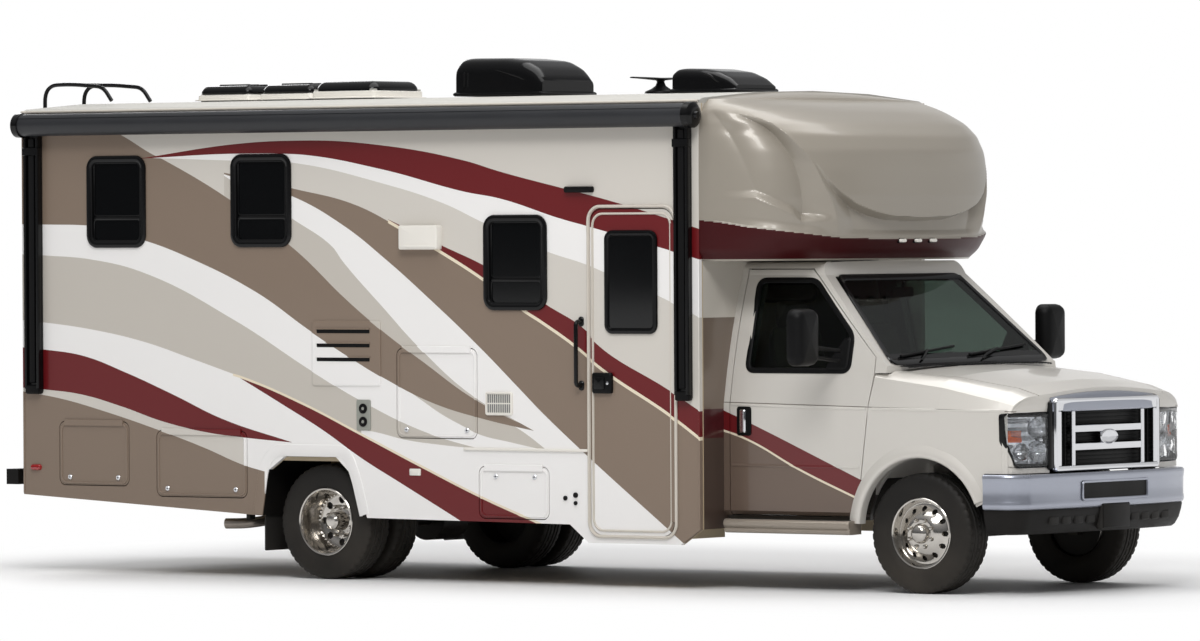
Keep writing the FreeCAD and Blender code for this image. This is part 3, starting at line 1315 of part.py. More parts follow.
def make_rear():
    tube = box("rear_tube_block", "tail", "tail + rear_tube", "-side + 88", "side - 88",
               "rail_top - 130", "rail_top - 130 + rear_tube")
    receiver = box("receiver_block", "tail", "tail + 300",
                   "-receiver_inside / 2 - receiver_wall", "receiver_inside / 2 + receiver_wall",
                   "rail_top - 130 - receiver_inside - 2 * receiver_wall", "rail_top - 130")
    bore = box("receiver_bore", "tail - 20", "tail + 301", "-receiver_inside / 2",
               "receiver_inside / 2", "rail_top - 130 - receiver_inside - receiver_wall",
               "rail_top - 130 - receiver_wall")
    pin = rod("hitch_pin_hole", "Y", "tail + 48", "-80",
              "rail_top - 130 - receiver_inside / 2 - receiver_wall", "hitch_pin_radius", "160")
    node(cut("rear_bumper_cut", fuse("rear_bumper_fused", [tube, receiver]), [bore, pin]),
         "rear_bumper")
    lamps = []
    for side, sign in SIDES:
        low, high = (("-inner_side + 30", "-inner_side + 140") if side == "right"
                     else ("inner_side - 140", "inner_side - 30"))
        lamps.append(box("tail_lamp_" + side, "house_rear - 28", "house_rear", low, high,
                         "1050", "1430"))
    node(group("tail_lamps_grouped", lamps), "tail_lamps")


def tube_path(points, radius):
    """A round tube: straight runs with a ball at each corner."""
    runs = [Part.makeCylinder(radius, (b - a).Length, a, b - a)
            for a, b in zip(points, points[1:])]
    return runs + [Part.makeSphere(radius, point) for point in points[1:-1]]


def make_ladder():
    """Two stiles with seven rungs; the stiles bend over the roof and come down on it."""
    x = v.house_rear - 95
    top = v.roof_top + 120
    middle = -680
    tubes = []
    for y in (middle - v.ladder_width / 2, middle + v.ladder_width / 2):
        tubes += tube_path([
            Vector(v.house_rear - 0.3, y, 700), Vector(x + 26, y, 700), Vector(x, y, 726),
            Vector(x, y, top - 60), Vector(x + 18, y, top - 18), Vector(x + 60, y, top),
            Vector(x + 455, y, top), Vector(x + 488, y, top - 22),
            Vector(x + 560, y, v.wall_top + 20)], v.ladder_tube)
        tubes.append(Part.makeCylinder(v.ladder_tube - 1, 94.7, Vector(x, y, 1900),
                                       Vector(1, 0, 0)))
    for rung in range(7):
        tubes.append(Part.makeCylinder(v.ladder_tube - 1, v.ladder_width,
                                       Vector(x, middle - v.ladder_width / 2, 900 + rung * 300),
                                       Vector(0, 1, 0)))
    ladder = tubes[0].fuse(tubes[1:])
    doc.recompute()
    roof = [piece for piece in NODES if piece.Label == "house_roof"][0]
    ladder = ladder.cut(roof.Shape)
    node(solid("ladder_shape", ladder), "ladder")


SIDE_FITTINGS = (  # name, rear edge, front edge, ground to bottom, ground to top, stands out
    ("fridge_vent", "front_axle - 4528", "front_axle - 3967", "1244", "1664", "16"),
    ("outlet_panel", "front_axle - 4163", "front_axle - 4050", "962", "1159", "10"),
    ("furnace_grille", "front_axle - 3124", "front_axle - 2911", "1069", "1219", "14"),
    ("white_box", "front_axle - 3783", "front_axle - 3472", "2117", "2272", "70"),
    ("porch_lamp", "front_axle - 2484", "front_axle - 2266", "2470", "2509", "40"),
    ("side_marker", "front_axle - 3736", "front_axle - 3648", "682", "723", "14"),
    ("rear_marker", "front_axle - 6940", "front_axle - 6830", "640", "676", "14"),
)


def make_fittings():
    parts = []
    for name, rear, front, low, high, out in SIDE_FITTINGS:
        parts.append(box(name, rear, front, "-side - " + out, "-side", low, high))
    handle_x = "front_axle - 2366"
    ends = [box("handle_foot_%d" % i, handle_x + " - 14", handle_x + " + 14", "-side - 62",
                "-side", z, z + " + 30") for i, z in enumerate(("1243", "1652"), start=1)]
    grip = rod("handle_grip", "Z", handle_x, "-side - 50", "1243", "13", "439")
    parts.append(fuse("grab_handle", ends + [grip]))
    node(group("side_fittings_grouped", parts), "side_fittings")


make_awning()
make_roof_units()
make_antenna()
make_rear()
make_ladder()
make_fittings()

# ----------------------------------------------------------------------------------------------
# Checks and files
# ----------------------------------------------------------------------------------------------
doc.recompute()
for obj in doc.Objects:
    if "Invalid" in obj.State or "Error" in obj.State:
        raise RuntimeError("%s did not build: %s" % (obj.Name, obj.State))
for obj in NODES:
    if obj.Shape.isNull() or not obj.Shape.isValid():
        raise RuntimeError("%s has no valid shape" % obj.Label)

os.makedirs("parts", exist_ok=True)
for obj in NODES:
    obj.Shape.exportStep("parts/%s.step" % obj.Label)
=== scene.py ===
"""Looks of a motorhome on a cutaway van chassis, built round its CAD frame.

Every piece is made where it belongs, in metres: X forward, Y to the driver's side, Z up.
"""

import bpy
import bmesh
import numpy as np
from bpy.props import FloatProperty, IntProperty, PointerProperty
from mathutils import Matrix, Vector


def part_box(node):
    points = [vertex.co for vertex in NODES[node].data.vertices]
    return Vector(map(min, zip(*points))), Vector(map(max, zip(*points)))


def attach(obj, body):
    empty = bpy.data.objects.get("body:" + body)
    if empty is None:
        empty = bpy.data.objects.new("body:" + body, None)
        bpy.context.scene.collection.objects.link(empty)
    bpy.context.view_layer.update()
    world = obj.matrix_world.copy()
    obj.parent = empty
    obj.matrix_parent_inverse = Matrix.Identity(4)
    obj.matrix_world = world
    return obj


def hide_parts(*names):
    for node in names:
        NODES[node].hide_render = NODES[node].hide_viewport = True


bl_info = {
    "name": "Motorhome looks",
    "version": (1, 0, 0),
    "blender": (4, 5, 0),
    "location": "View3D > Sidebar > Motorhome",
    "description": "Builds the visible pieces of a motorhome round its CAD frame",
    "category": "Object",
}

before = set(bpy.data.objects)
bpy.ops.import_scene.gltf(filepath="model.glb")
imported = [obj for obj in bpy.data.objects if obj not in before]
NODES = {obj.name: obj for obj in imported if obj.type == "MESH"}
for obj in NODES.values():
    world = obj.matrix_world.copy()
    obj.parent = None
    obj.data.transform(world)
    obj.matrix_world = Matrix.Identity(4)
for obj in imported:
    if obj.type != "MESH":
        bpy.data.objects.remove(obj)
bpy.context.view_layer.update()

# Places on the frame, in metres
SIDE = 1.240            # outside of the house walls
HOUSE_REAR = -3.772
HOUSE_FRONT = 1.740
WALL_TOP = 3.020
ROOF = 3.107
FRONT_AXLE = 3.200
REAR_AXLE = -1.270
TYRE_RADIUS = 0.370
CAB_SIDE = 0.985
NOSE = 4.000
CAP_BOTTOM = 2.040
TAU = 2 * np.pi
WINDSHIELD_LEAN = 1.0163    # how far back it leans for each metre up
CREASE_SHADE_HALF = 0.0028    # half the height of the painted shade line along the belt crease under the cab windows
MERGE = 2e-5            # points nearer than this become one
SIDES = (("left", 1), ("right", -1))


# ----------------------------------------------------------------------------------------------
# Shapes: arrays of points, swept and turned
# ----------------------------------------------------------------------------------------------
def joined(x, y, z):
    """Points from three coordinates, each of them an array or one number for all."""
    return np.stack(np.broadcast_arrays(x, y, z), -1)


class Shell:
    """The grids of one piece, joined into a mesh with a material number for each face."""

    def __init__(self):
        self.points, self.faces, self.numbers = [], [], []
        self.total = 0

    def grid(self, points, around=False, number=0):
        """Quads between neighbours of a (rows, columns, 3) array; around joins the last
        column to the first."""
        rows, columns = points.shape[:2]
        index = self.total + np.arange(rows * columns).reshape(rows, columns)
        if around:
            index = np.hstack([index, index[:, :1]])
        quads = np.stack([index[:-1, :-1], index[1:, :-1], index[1:, 1:], index[:-1, 1:]], -1)
        self.points.append(points.reshape(-1, 3))
        self.faces.append(quads.reshape(-1, 4))
        self.numbers.append(np.broadcast_to(number, quads.shape[:2]).reshape(-1))
        self.total += rows * columns

    def lid(self, ring, number=0):
        """Closes a ring of points with a fan to its middle."""
        middle = np.broadcast_to(ring.mean(axis=0), ring.shape)
        self.grid(np.stack([ring, middle]), around=True, number=number)

    def solid(self, rows, number=0):
        """A stack of closed rings with both ends closed."""
        self.grid(rows, around=True, number=number)
        self.lid(rows[0], number)
        self.lid(rows[-1], number)

    def bead(self, loop, profile, place, number=0):
        """A profile carried round a closed outline on a surface."""
        self.grid(swept(loop, profile, place), around=True, number=number)

    def plate(self, loop, profile, place, number=0):
        """A bead whose two ends are closed, so that it covers its outline."""
        self.solid(swept(loop, profile, place), number)

    def lathe(self, profile, centre, axis, sign, steps, number=0):
        """A profile turned about an axis through a centre."""
        self.grid(turned(profile, centre, axis, sign, steps), around=True, number=number)

    def rod(self, path, radius, number=0, up=(0, 0, 1), sides=12):
        """A round bar along a path."""
        self.solid(tube(path, radius, up, sides), number)

    def block(self, corner, opposite, bevel=0.004, number=0):
        """A box with bevelled edges between two opposite corners: four rounded rings
        stacked along Z, the first and the last drawn in by the bevel."""
        low, high = np.sort(np.array((corner, opposite), float), axis=0)
        size = high - low
        bevel = min(bevel, 0.45 * size.min())
        centre = (low + high) / 2
        rows = []
        for inset, height in ((bevel, low[2]), (0.0, low[2] + bevel), (0.0, high[2] - bevel),
                              (bevel, high[2])):
            ring = rounded(size[0] - 2 * inset, size[1] - 2 * inset, bevel, 2)
            rows.append(np.column_stack([ring + centre[:2], np.full(len(ring), height)]))
        self.solid(np.stack(rows), number)

    def build(self, name, body, materials, slot, smooth=38.0):
        """Makes the object and rides it on a body; slot is not used."""
        mesh = bpy.data.meshes.new(name)
        mesh.from_pydata(np.vstack(self.points).tolist(), [], np.vstack(self.faces).tolist())
        mesh.polygons.foreach_set("material_index", np.concatenate(self.numbers).astype(np.int32))
        work = bmesh.new()
        work.from_mesh(mesh)
        bmesh.ops.remove_doubles(work, verts=work.verts, dist=MERGE)
        bmesh.ops.dissolve_degenerate(work, edges=work.edges, dist=MERGE)
        bmesh.ops.recalc_face_normals(work, faces=work.faces)
        work.to_mesh(mesh)
        work.free()
        mesh.polygons.foreach_set("use_smooth", np.ones(len(mesh.polygons), bool))
        mesh.set_sharp_from_angle(angle=np.radians(smooth))
        obj = bpy.data.objects.new(name, mesh)
        bpy.context.scene.collection.objects.link(obj)
        for each in materials:
            mesh.materials.append(finish_named(each))
        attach(obj, body)
        return obj


def rounded(width, height, corner, steps=6):
    """A closed outline with round corners about the middle, counterclockwise, as (N, 2)."""
    turn = np.linspace(0, np.pi / 2, steps + 1)
    arcs = []
    for across, up, start in ((1, 1, 0.0), (-1, 1, 0.5), (-1, -1, 1.0), (1, -1, 1.5)):
        angle = turn + start * np.pi
        arcs.append(np.column_stack([across * (width / 2 - corner) + corner * np.cos(angle),
                                     up * (height / 2 - corner) + corner * np.sin(angle)]))
    return np.vstack(arcs)


def between(x0, x1, y0, y1, corner, steps=6):
    """A rounded outline between two columns and two rows, in either order."""
    return rounded(abs(x1 - x0), abs(y1 - y0), corner, steps) + [(x0 + x1) / 2, (y0 + y1) / 2]


def corners(points, radius, steps=5):
    """A closed outline through corner points, each corner rounded with a parabolic bend."""
    points = np.array(points, float)
    return curved(np.vstack([points[-1:], points, points[:1]]), radius, steps)[1:-1]


def outward(loop):
    """Unit normals in the plane of a counterclockwise outline, pointing out of it."""
    step = np.roll(loop, -1, axis=0) - np.roll(loop, 1, axis=0)
    normal = np.column_stack([step[:, 1], -step[:, 0]])
    return normal / np.linalg.norm(normal, axis=1, keepdims=True)


def swept(loop, profile, place):
    """A profile of (outward, height) rows carried round an outline and put on a surface."""
    profile = np.array(profile, float)
    flat = loop[None] + outward(loop)[None] * profile[:, :1, None]
    height = np.broadcast_to(profile[:, 1:2], flat.shape[:2])
    return place(flat[..., 0], flat[..., 1], height)


def on_side(sign):
    """Puts (along X, up Z, height) on a side wall: sign -1 is the door side, 1 the other."""
    return lambda a, b, h: joined(a, sign * (SIDE + h), b)


def on_rear(a, b, h):
    """Puts (across Y, up Z, height) on the rear wall."""
    return joined(HOUSE_REAR - h, a, b)


def on_roof(a, b, h):
    """Puts (along X, across Y, height above the roof's edge line) on the roof."""
    return joined(a, b, ROOF + h)


def on_front(a, b, h):
    """Puts (across Y, up Z, place along X) on a plane that faces forward."""
    return joined(h, a, b)


def curved(points, radius, steps=5):
    """A path of straight runs whose corners are rounded with parabolic bends."""
    points = np.array(points, float)
    pieces = [points[:1]]
    share = np.linspace(0, 1, steps + 1)[:, None]
    for before, corner, after in zip(points[:-2], points[1:-1], points[2:]):
        back, ahead = before - corner, after - corner
        reach = min(radius, 0.48 * np.linalg.norm(back), 0.48 * np.linalg.norm(ahead))
        start = corner + back * reach / np.linalg.norm(back)
        end = corner + ahead * reach / np.linalg.norm(ahead)
        pieces.append(start * (1 - share) ** 2 + 2 * corner * share * (1 - share)
                      + end * share ** 2)
    pieces.append(points[-1:])
    return np.vstack(pieces)


def even(points, radius, count):
    """A rounded path through corner points with evenly spaced stations."""
    line = curved(points, radius, 12)
    length = np.r_[0, np.cumsum(np.linalg.norm(np.diff(line, axis=0), axis=1))]
    at = np.linspace(0, length[-1], count)
    return np.column_stack([np.interp(at, length, part) for part in line.T])


def carried(path, profile, place):
    """A profile of (aside, height) rows carried along an open flat path and put on a surface;
    aside is to the left of the way the path runs."""
    path, profile = np.array(path, float), np.array(profile, float)
    along = np.gradient(path, axis=0)
    along /= np.linalg.norm(along, axis=1, keepdims=True)
    aside = np.column_stack([-along[:, 1], along[:, 0]])
    flat = path[None] + aside[None] * profile[:, :1, None]
    height = np.broadcast_to(profile[:, 1:2], flat.shape[:2])
    return place(flat[..., 0], flat[..., 1], height)


def tube(path, radius, up=(0, 0, 1), sides=12):
    """Rings round a path: each ring lies across the path, level with an up direction that
    the path never runs along."""
    path = np.array(path, float)
    along = np.gradient(path, axis=0)
    along /= np.linalg.norm(along, axis=1, keepdims=True)
    across = np.cross(along, np.array(up, float))
    across /= np.linalg.norm(across, axis=1, keepdims=True)
    over = np.cross(across, along)
    angle = np.linspace(0, TAU, sides, endpoint=False)[None, :, None]
    return path[:, None] + radius * (np.cos(angle) * across[:, None]
                                     + np.sin(angle) * over[:, None])


def turned(profile, centre, axis="Y", sign=1.0, steps=96):
    """A profile of (along the axis, radius) rows turned about an axis through a centre."""
    profile = np.array(profile, float)
    angle = np.linspace(0, TAU, steps, endpoint=False)
    along, radius = sign * profile[:, :1], profile[:, 1:2]
    one, two = radius * np.cos(angle), radius * np.sin(angle)
    order = {"X": (along, one, two), "Y": (one, along, two), "Z": (one, two, along)}[axis]
    return joined(*order) + np.array(centre, float)


# ----------------------------------------------------------------------------------------------
# Materials: shared groups of nodes, then one finish for each row of a table
# ----------------------------------------------------------------------------------------------
def linear(red, green, blue):
    """A screen colour of 0 to 255 as the linear colour that shaders use."""
    part = np.array([red, green, blue]) / 255.0
    return tuple(np.where(part <= 0.04045, part / 12.92, ((part + 0.055) / 1.055) ** 2.4)) + (1,)


class Tree:
    """A node tree with short ways to add nodes and join them."""

    def __init__(self, tree):
        self.tree = tree

    def add(self, kind, inputs=(), **settings):
        """A node with its settings and inputs; an input is a value or another socket."""
        made = self.tree.nodes.new(kind)
        for key, value in settings.items():
            setattr(made, key, value)
        for key, value in dict(inputs).items():
            if isinstance(value, bpy.types.NodeSocket):
                self.tree.links.new(value, made.inputs[key])
            else:
                made.inputs[key].default_value = value
        return made

    def shared(self, name, inputs=()):
        """The outputs of a shared group of nodes that is given these inputs."""
        return self.add("ShaderNodeGroup", inputs, node_tree=bpy.data.node_groups[name]).outputs

    def math(self, operation, a, b=0.0, clamp=False):
        """One sum or comparison of two values or sockets."""
        return self.add("ShaderNodeMath", {0: a, 1: b}, operation=operation,
                        use_clamp=clamp).outputs[0]

    def above(self, value, limit):
        """1 where a value is above a limit, 0 elsewhere."""
        return self.math("GREATER_THAN", value, limit)

    def below(self, value, limit):
        """1 where a value is below a limit, 0 elsewhere."""
        return self.math("LESS_THAN", value, limit)

    def times(self, product, *others):
        """The product of several values or sockets."""
        for other in others:
            product = self.math("MULTIPLY", product, other)
        return product

    def mix(self, factor, a, b):
        """One colour over another by a factor."""
        return self.add("ShaderNodeMix", {0: factor, 6: a, 7: b}, data_type="RGBA").outputs[2]

    def place(self):
        """The point's own place on its object, and its three parts."""
        point = self.add("ShaderNodeTexCoord").outputs["Object"]
        return point, self.add("ShaderNodeSeparateXYZ", {0: point}).outputs


def emptied(holder):
    """The node tree of a material or a world, with nothing left in it."""
    holder.use_nodes = True
    holder.node_tree.nodes.clear()
    return Tree(holder.node_tree)


def group(name, inputs, outputs):
    """A new node group with named sockets, as its tree and its input sockets."""
    tree = bpy.data.node_groups.new(name, "ShaderNodeTree")
    for socket, start in inputs.items():
        kind = "Float" if isinstance(start, float) else "Color"
        tree.interface.new_socket(name=socket, in_out="INPUT",
                                  socket_type="NodeSocket" + kind).default_value = start
    for socket in outputs:
        kind = "Color" if socket == "Color" else "Float"
        tree.interface.new_socket(name=socket, in_out="OUTPUT", socket_type="NodeSocket" + kind)
    work = Tree(tree)
    return work, work.add("NodeGroupInput").outputs


def make_variation():
    """Clouds of slightly lighter and darker colour, and a value from -1 to 1 beside them."""
    work, given = group("Surface variation",
                        {"Color": MIDDLE_GREY, "Amount": 0.05, "Scale": 2.0},
                        ("Color", "Shade"))
    cloud = work.add("ShaderNodeTexNoise", {"Vector": work.place()[0], "Scale": given["Scale"],
                                            "Detail": 4.0, "Roughness": 0.6}).outputs["Fac"]
    shade = work.times(work.math("SUBTRACT", cloud, 0.5), 4.0)
    value = work.math("ADD", work.times(shade, given["Amount"]), 1.0)
    tint = work.add("ShaderNodeHueSaturation", {"Value": value, "Color": given["Color"]})
    work.add("NodeGroupOutput", {"Color": tint.outputs[0], "Shade": shade})


def make_relief():
    """A fine grain of height for a bump."""
    work, given = group("Fine relief", {"Scale": 200.0}, ("Height",))
    grain = work.add("ShaderNodeTexNoise", {"Vector": work.place()[0], "Scale": given["Scale"],
                                            "Detail": 3.0}).outputs["Fac"]
    work.add("NodeGroupOutput", {"Height": grain})


def make_road_film():
    """Pale road dust that thickens toward the ground, in soft patches."""
    work, given = group("Road film", {"Color": MIDDLE_GREY, "Top": 0.9, "Amount": 0.3},
                        ("Color", "Mask"))
    point, (_, _, z) = work.place()
    patch = work.add("ShaderNodeTexNoise", {"Vector": point, "Scale": 3.0,
                                            "Detail": 5.0}).outputs["Fac"]
    low = work.math("SUBTRACT", 1.0, work.math("DIVIDE", z, given["Top"]), clamp=True)
    mask = work.math("MULTIPLY", work.times(low, patch), given["Amount"], clamp=True)
    work.add("NodeGroupOutput", {"Color": work.mix(mask, given["Color"], ROAD_DUST),
                                 "Mask": mask})


# Stripe edges on the house sides: points (X, Z) in metres
EDGES = {
    "skirt_band": ((-3.767, 1.188), (-3.447, 1.144), (-3.095, 1.069), (-2.576, 0.936),
                   (-2.231, 0.836), (-1.889, 0.724), (-1.723, 0.688)),
    "low_red_low": ((-3.767, 1.214), (-3.585, 1.203), (-3.266, 1.172), (-2.923, 1.096),
                    (-2.576, 1.002), (-2.23, 0.94), (-1.888, 0.905), (-1.498, 0.878)),
    "low_red_high": ((-3.767, 1.480), (-3.583, 1.466), (-3.264, 1.429), (-2.888, 1.319),
                     (-2.49, 1.179), (-2.062, 1.02), (-1.498, 0.879)),
    "grey_low": ((-3.767, 1.66), (-3.581, 1.645), (-3.176, 1.6), (-2.741, 1.523),
                 (-2.311, 1.408), (-1.968, 1.312)),
    "grey_high": ((-3.767, 2.095), (-3.578, 2.087), (-3.173, 2.059), (-2.738, 1.974),
                  (-1.965, 1.662), (-1.338, 1.342), (-0.922, 1.147), (-0.422, 0.96),
                  (-0.014, 0.864), (0.42, 0.80)),
    "grey_tail": ((-1.0, 0.972), (-0.824, 0.954), (-0.558, 0.904), (-0.309, 0.879),
                  (0.02, 0.855)),
    "under_low": ((-0.56, 1.226), (-0.431, 1.154), (-0.286, 1.075), (-0.106, 0.997),
                  (0.028, 0.945), (0.251, 0.903), (0.56, 0.85)),
    "under_high": ((-0.56, 1.27), (0.006, 1.10), (0.25, 1.02), (0.307, 0.997), (0.384, 0.958),
                   (0.56, 0.85)),
    "mid_red_high": ((-1.985, 1.319), (-1.926, 1.306), (-1.422, 1.142), (-0.924, 0.942),
                     (-0.423, 0.738), (0.063, 0.548), (0.497, 0.398), (0.60, 0.36)),
    "mid_red_low": ((-1.985, 1.318), (-1.587, 1.128), (-1.251, 0.964), (-0.925, 0.782),
                    (-0.594, 0.621), (-0.137, 0.399), (0.0, 0.33)),
    "dark_low": ((-3.767, 2.294), (-3.576, 2.291), (-3.205, 2.283), (-2.719, 2.182),
                 (-2.39, 2.084), (-1.797, 1.85), (-1.336, 1.593), (-0.953, 1.396),
                 (-0.767, 1.308), (-0.34, 1.139), (0.067, 1.042), (0.548, 0.958),
                 (0.70, 0.93)),
    "dark_high": ((-3.3, 3.02), (-2.909, 2.87), (-2.664, 2.75), (-2.545, 2.703),
                  (-1.993, 2.439), (-1.505, 2.146), (-1.366, 2.049), (-1.081, 1.824),
                  (-0.748, 1.595), (-0.419, 1.399), (-0.012, 1.167), (0.391, 1.007),
                  (0.70, 0.931)),
    "cream_low": ((-2.05, 2.60), (-1.463, 2.307), (-1.16, 2.139), (-1.079, 2.049),
                  (-0.747, 1.748), (-0.45, 1.488), (-0.012, 1.18), (0.35, 1.02)),
    "cream_high": ((-2.05, 2.61), (-1.478, 2.461), (-1.077, 2.279), (-0.713, 2.048),
                   (-0.368, 1.8), (0.006, 1.515), (0.361, 1.221), (0.502, 1.103),
                   (0.876, 0.818), (1.477, 0.385)),
    "taupe_high": ((-2.05, 2.62), (-1.478, 2.513), (-0.995, 2.413), (-0.582, 2.245),
                   (-0.277, 2.11), (0.065, 1.933), (0.396, 1.731), (0.865, 1.463),
                   (1.52, 1.087), (1.74, 0.96)),
    "long_red_low": ((-0.703, 2.309), (-0.277, 2.11), (0.065, 1.933), (0.396, 1.731),
                     (0.506, 1.675), (0.865, 1.463), (0.919, 1.419), (1.52, 1.087),
                     (1.74, 0.95)),
    "long_red_high": ((-0.703, 2.311), (-0.253, 2.136), (0.065, 2.015), (0.554, 1.769),
                      (0.874, 1.6), (0.92, 1.544), (1.521, 1.23), (1.74, 1.11)),
    "band_low": ((-2.05, 2.70), (-1.493, 2.68), (-0.742, 2.539), (-0.251, 2.408),
                 (0.043, 2.293), (0.564, 2.102), (0.869, 2.02), (1.032, 1.963),
                 (1.517, 1.789), (1.74, 1.69)),
    "top_red_low": ((-2.749, 2.718), (-1.915, 2.742), (-1.41, 2.731), (-0.741, 2.628),
                    (-0.091, 2.483), (0.195, 2.437), (0.667, 2.309), (0.862, 2.264),
                    (1.519, 2.106), (1.74, 2.05)),
    "top_red_high": ((-2.749, 2.720), (-1.915, 2.807), (-1.41, 2.821), (-0.74, 2.782),
                     (-0.089, 2.68), (0.197, 2.607), (0.669, 2.503), (1.027, 2.425),
                     (1.519, 2.30), (1.74, 2.24)),
}
TAUPE = linear(128, 112, 98)
GREY = linear(190, 184, 175)
PALE = linear(203, 198, 190)
WHITE = linear(234, 232, 230)
RED = linear(100, 18, 22)
CREAM = linear(226, 214, 190)
INSIDE = linear(188, 170, 140)
ROAD_DUST = linear(132, 122, 110)
MIDDLE_GREY = (0.5, 0.5, 0.5, 1)
NO_LIMIT = 9            # stands for a band that runs on

# Bands from the bottom up: (lower edge, upper edge, from X, to X, shift down, colour)
BANDS = (
    (None, "skirt_band", -9, -1.723, 0, TAUPE),
    ("skirt_band", "low_red_low", -9, -1.9, 0, PALE),
    ("low_red_low", "low_red_high", -9, -1.498, 0, RED),
    ("grey_low", "grey_high", -9, -1.968, 0, GREY),
    ("mid_red_high", "grey_high", -1.968, -0.93, 0, GREY),
    ("grey_tail", "grey_high", -0.93, 0.02, 0, GREY),
    ("under_low", "under_high", -0.55, 0.56, 0, GREY),
    ("mid_red_low", "mid_red_high", -1.985, 0.60, 0, RED),
    ("mid_red_high", "mid_red_high", -1.985, 0.60, 0.016, CREAM),
    ("dark_low", "dark_high", -9, 0.70, 0, TAUPE),
    ("dark_high", "cream_low", -2.05, 0.35, 0, GREY),
    ("dark_high", "band_low", -3.3, -2.05, 0, PALE),
    ("cream_low", "cream_high", -2.05, 1.477, 0, WHITE),
    ("cream_high", "taupe_high", -2.05, 9, 0, TAUPE),
    ("taupe_high", "band_low", -2.05, 9, 0, PALE),
    ("long_red_low", "long_red_low", -0.703, 9, 0.022, CREAM),
    ("long_red_low", "long_red_high", -0.703, 9, 0, RED),
    ("band_low", "top_red_low", -2.749, 9, 0, WHITE),
    ("top_red_low", "top_red_high", -2.749, 9, 0, RED),
)
SPAN_X = (-4.0, 2.0)    # what the edge curves cover
SPAN_Z = 3.3


def edge_curve(work, along, places):
    """A stripe's edge as a curve node: a height for each place along X. Places are pairs of
    the two, as shares of their spans."""
    made = work.add("ShaderNodeFloatCurve", {1: along})
    knots = made.mapping.curves[0].points
    knots[0].location, knots[1].location = places[0], places[-1]
    for place in places[1:-1]:
        knots.new(*place)
    return made


def make_house_graphics():
    """The painted sweeps on the house: each band lies between two edge curves and two places
    along X, and the later ones cover the earlier ones. The inner faces are plain board."""
    work, _ = group("House graphics", {}, ("Color", "Outside"))
    _, (x, y, z) = work.place()
    start, length = SPAN_X[0], SPAN_X[1] - SPAN_X[0]
    along = work.math("DIVIDE", work.math("SUBTRACT", x, start), length)
    height = work.math("DIVIDE", z, SPAN_Z)
    edges = {}
    for name, points in EDGES.items():
        made = edge_curve(work, along, [((a - start) / length, b / SPAN_Z) for a, b in points])
        for knot in made.mapping.curves[0].points:
            knot.handle_type = "AUTO_CLAMPED"
        made.mapping.use_clip = False
        made.mapping.update()
        edges[name] = made.outputs[0]
    colour = WHITE
    for low, high, first, last, drop, tint in BANDS:
        masks = [work.below(height, edges[high])]
        if low:
            floor = work.math("SUBTRACT", edges[low], drop / SPAN_Z) if drop else edges[low]
            masks.insert(0, work.above(height, floor))
        if first > -NO_LIMIT:
            masks.append(work.above(x, first))
        if last < NO_LIMIT:
            masks.append(work.below(x, last))
        colour = work.mix(work.times(*masks), colour, tint)
    over_dark = work.above(height, edges["dark_high"])
    pale_start, red_start = -3.3, -2.749
    forward = work.above(x, pale_start)
    right = work.above(x, red_start)
    top = work.times(over_dark, work.above(height, edges["top_red_high"]), forward)
    left = work.times(over_dark, work.above(height, edges["band_low"]), forward,
                      work.math("SUBTRACT", 1.0, right))
    pale = work.math("MAXIMUM", work.times(top, right), left)
    colour = work.mix(pale, colour, PALE)
    outside = work.math("MAXIMUM", work.above(work.math("ABSOLUTE", y), SIDE - 0.030),
                        work.below(x, HOUSE_REAR + 0.010))
    work.add("NodeGroupOutput", {"Color": work.mix(outside, INSIDE, colour),
                                 "Outside": outside})


# The two edges of the red band on the cab: points (X, Z) in metres
CAB_EDGES = {
    "high": ((1.74, 1.11), (1.963, 1.024), (2.551, 0.784), (2.782, 0.689), (2.84, 0.665)),
    "low": ((1.74, 0.977), (1.917, 0.924), (2.31, 0.743), (2.774, 0.560), (2.84, 0.534)),
}


def make_cab_graphics_and_crease_shade():
    """The cab's paint: pearl above, taupe below a slanting red band edged with cream. Behind
    the skin and the glass it turns into the dark lining."""
    work, _ = group("Cab graphics and crease shade", {}, ("Color",))
    _, (x, y, z) = work.place()
    length, height = 4.0, 2.0
    edges = {}
    for name, points in CAB_EDGES.items():
        made = edge_curve(work, work.math("DIVIDE", x, length),
                          [(a / length, b / height) for a, b in points])
        made.mapping.update()
        edges[name] = work.times(made.outputs[0], height)
    reach = work.math("ABSOLUTE", y)
    side = work.times(work.above(reach, CAB_SIDE - 0.10), work.below(x, 2.835))
    rim = work.math("ADD", edges["low"], 0.014)
    colour = work.mix(work.times(side, work.below(z, edges["high"])), linear(204, 200, 193), RED)
    colour = work.mix(work.times(side, work.below(z, rim)), colour, CREAM)
    colour = work.mix(work.times(work.below(z, edges["low"]), side), colour, linear(104, 88, 77))
    # A thin line of painted shade along the belt crease, on the sides only: darker than the paint,
    # standing for the crease's groove.
    belt = work.math("SUBTRACT", 1.1946, work.times(x, 0.0192))
    crease = work.math("COMPARE", z, belt)
    crease.node.inputs[2].default_value = CREASE_SHADE_HALF
    colour = work.mix(work.times(crease, work.above(reach, 0.90)), colour, linear(112, 106, 98))
    skin = CAB_SIDE
    for start, lean in ((1.201, 0.188), (1.258, 0.23), (1.419, 0.33)):
        skin = work.math("MINIMUM", skin, work.math("SUBTRACT", start, work.times(z, lean)))
    skin = work.math("SUBTRACT", skin, 0.026)
    glass = work.math("SUBTRACT", 4.336, work.times(z, WINDSHIELD_LEAN))
    inside = work.times(work.below(reach, skin),
                        work.below(x, work.math("MINIMUM", glass, 2.80)), work.below(z, 2.018))
    work.add("NodeGroupOutput", {"Color": work.mix(inside, colour, linear(58, 54, 49))})


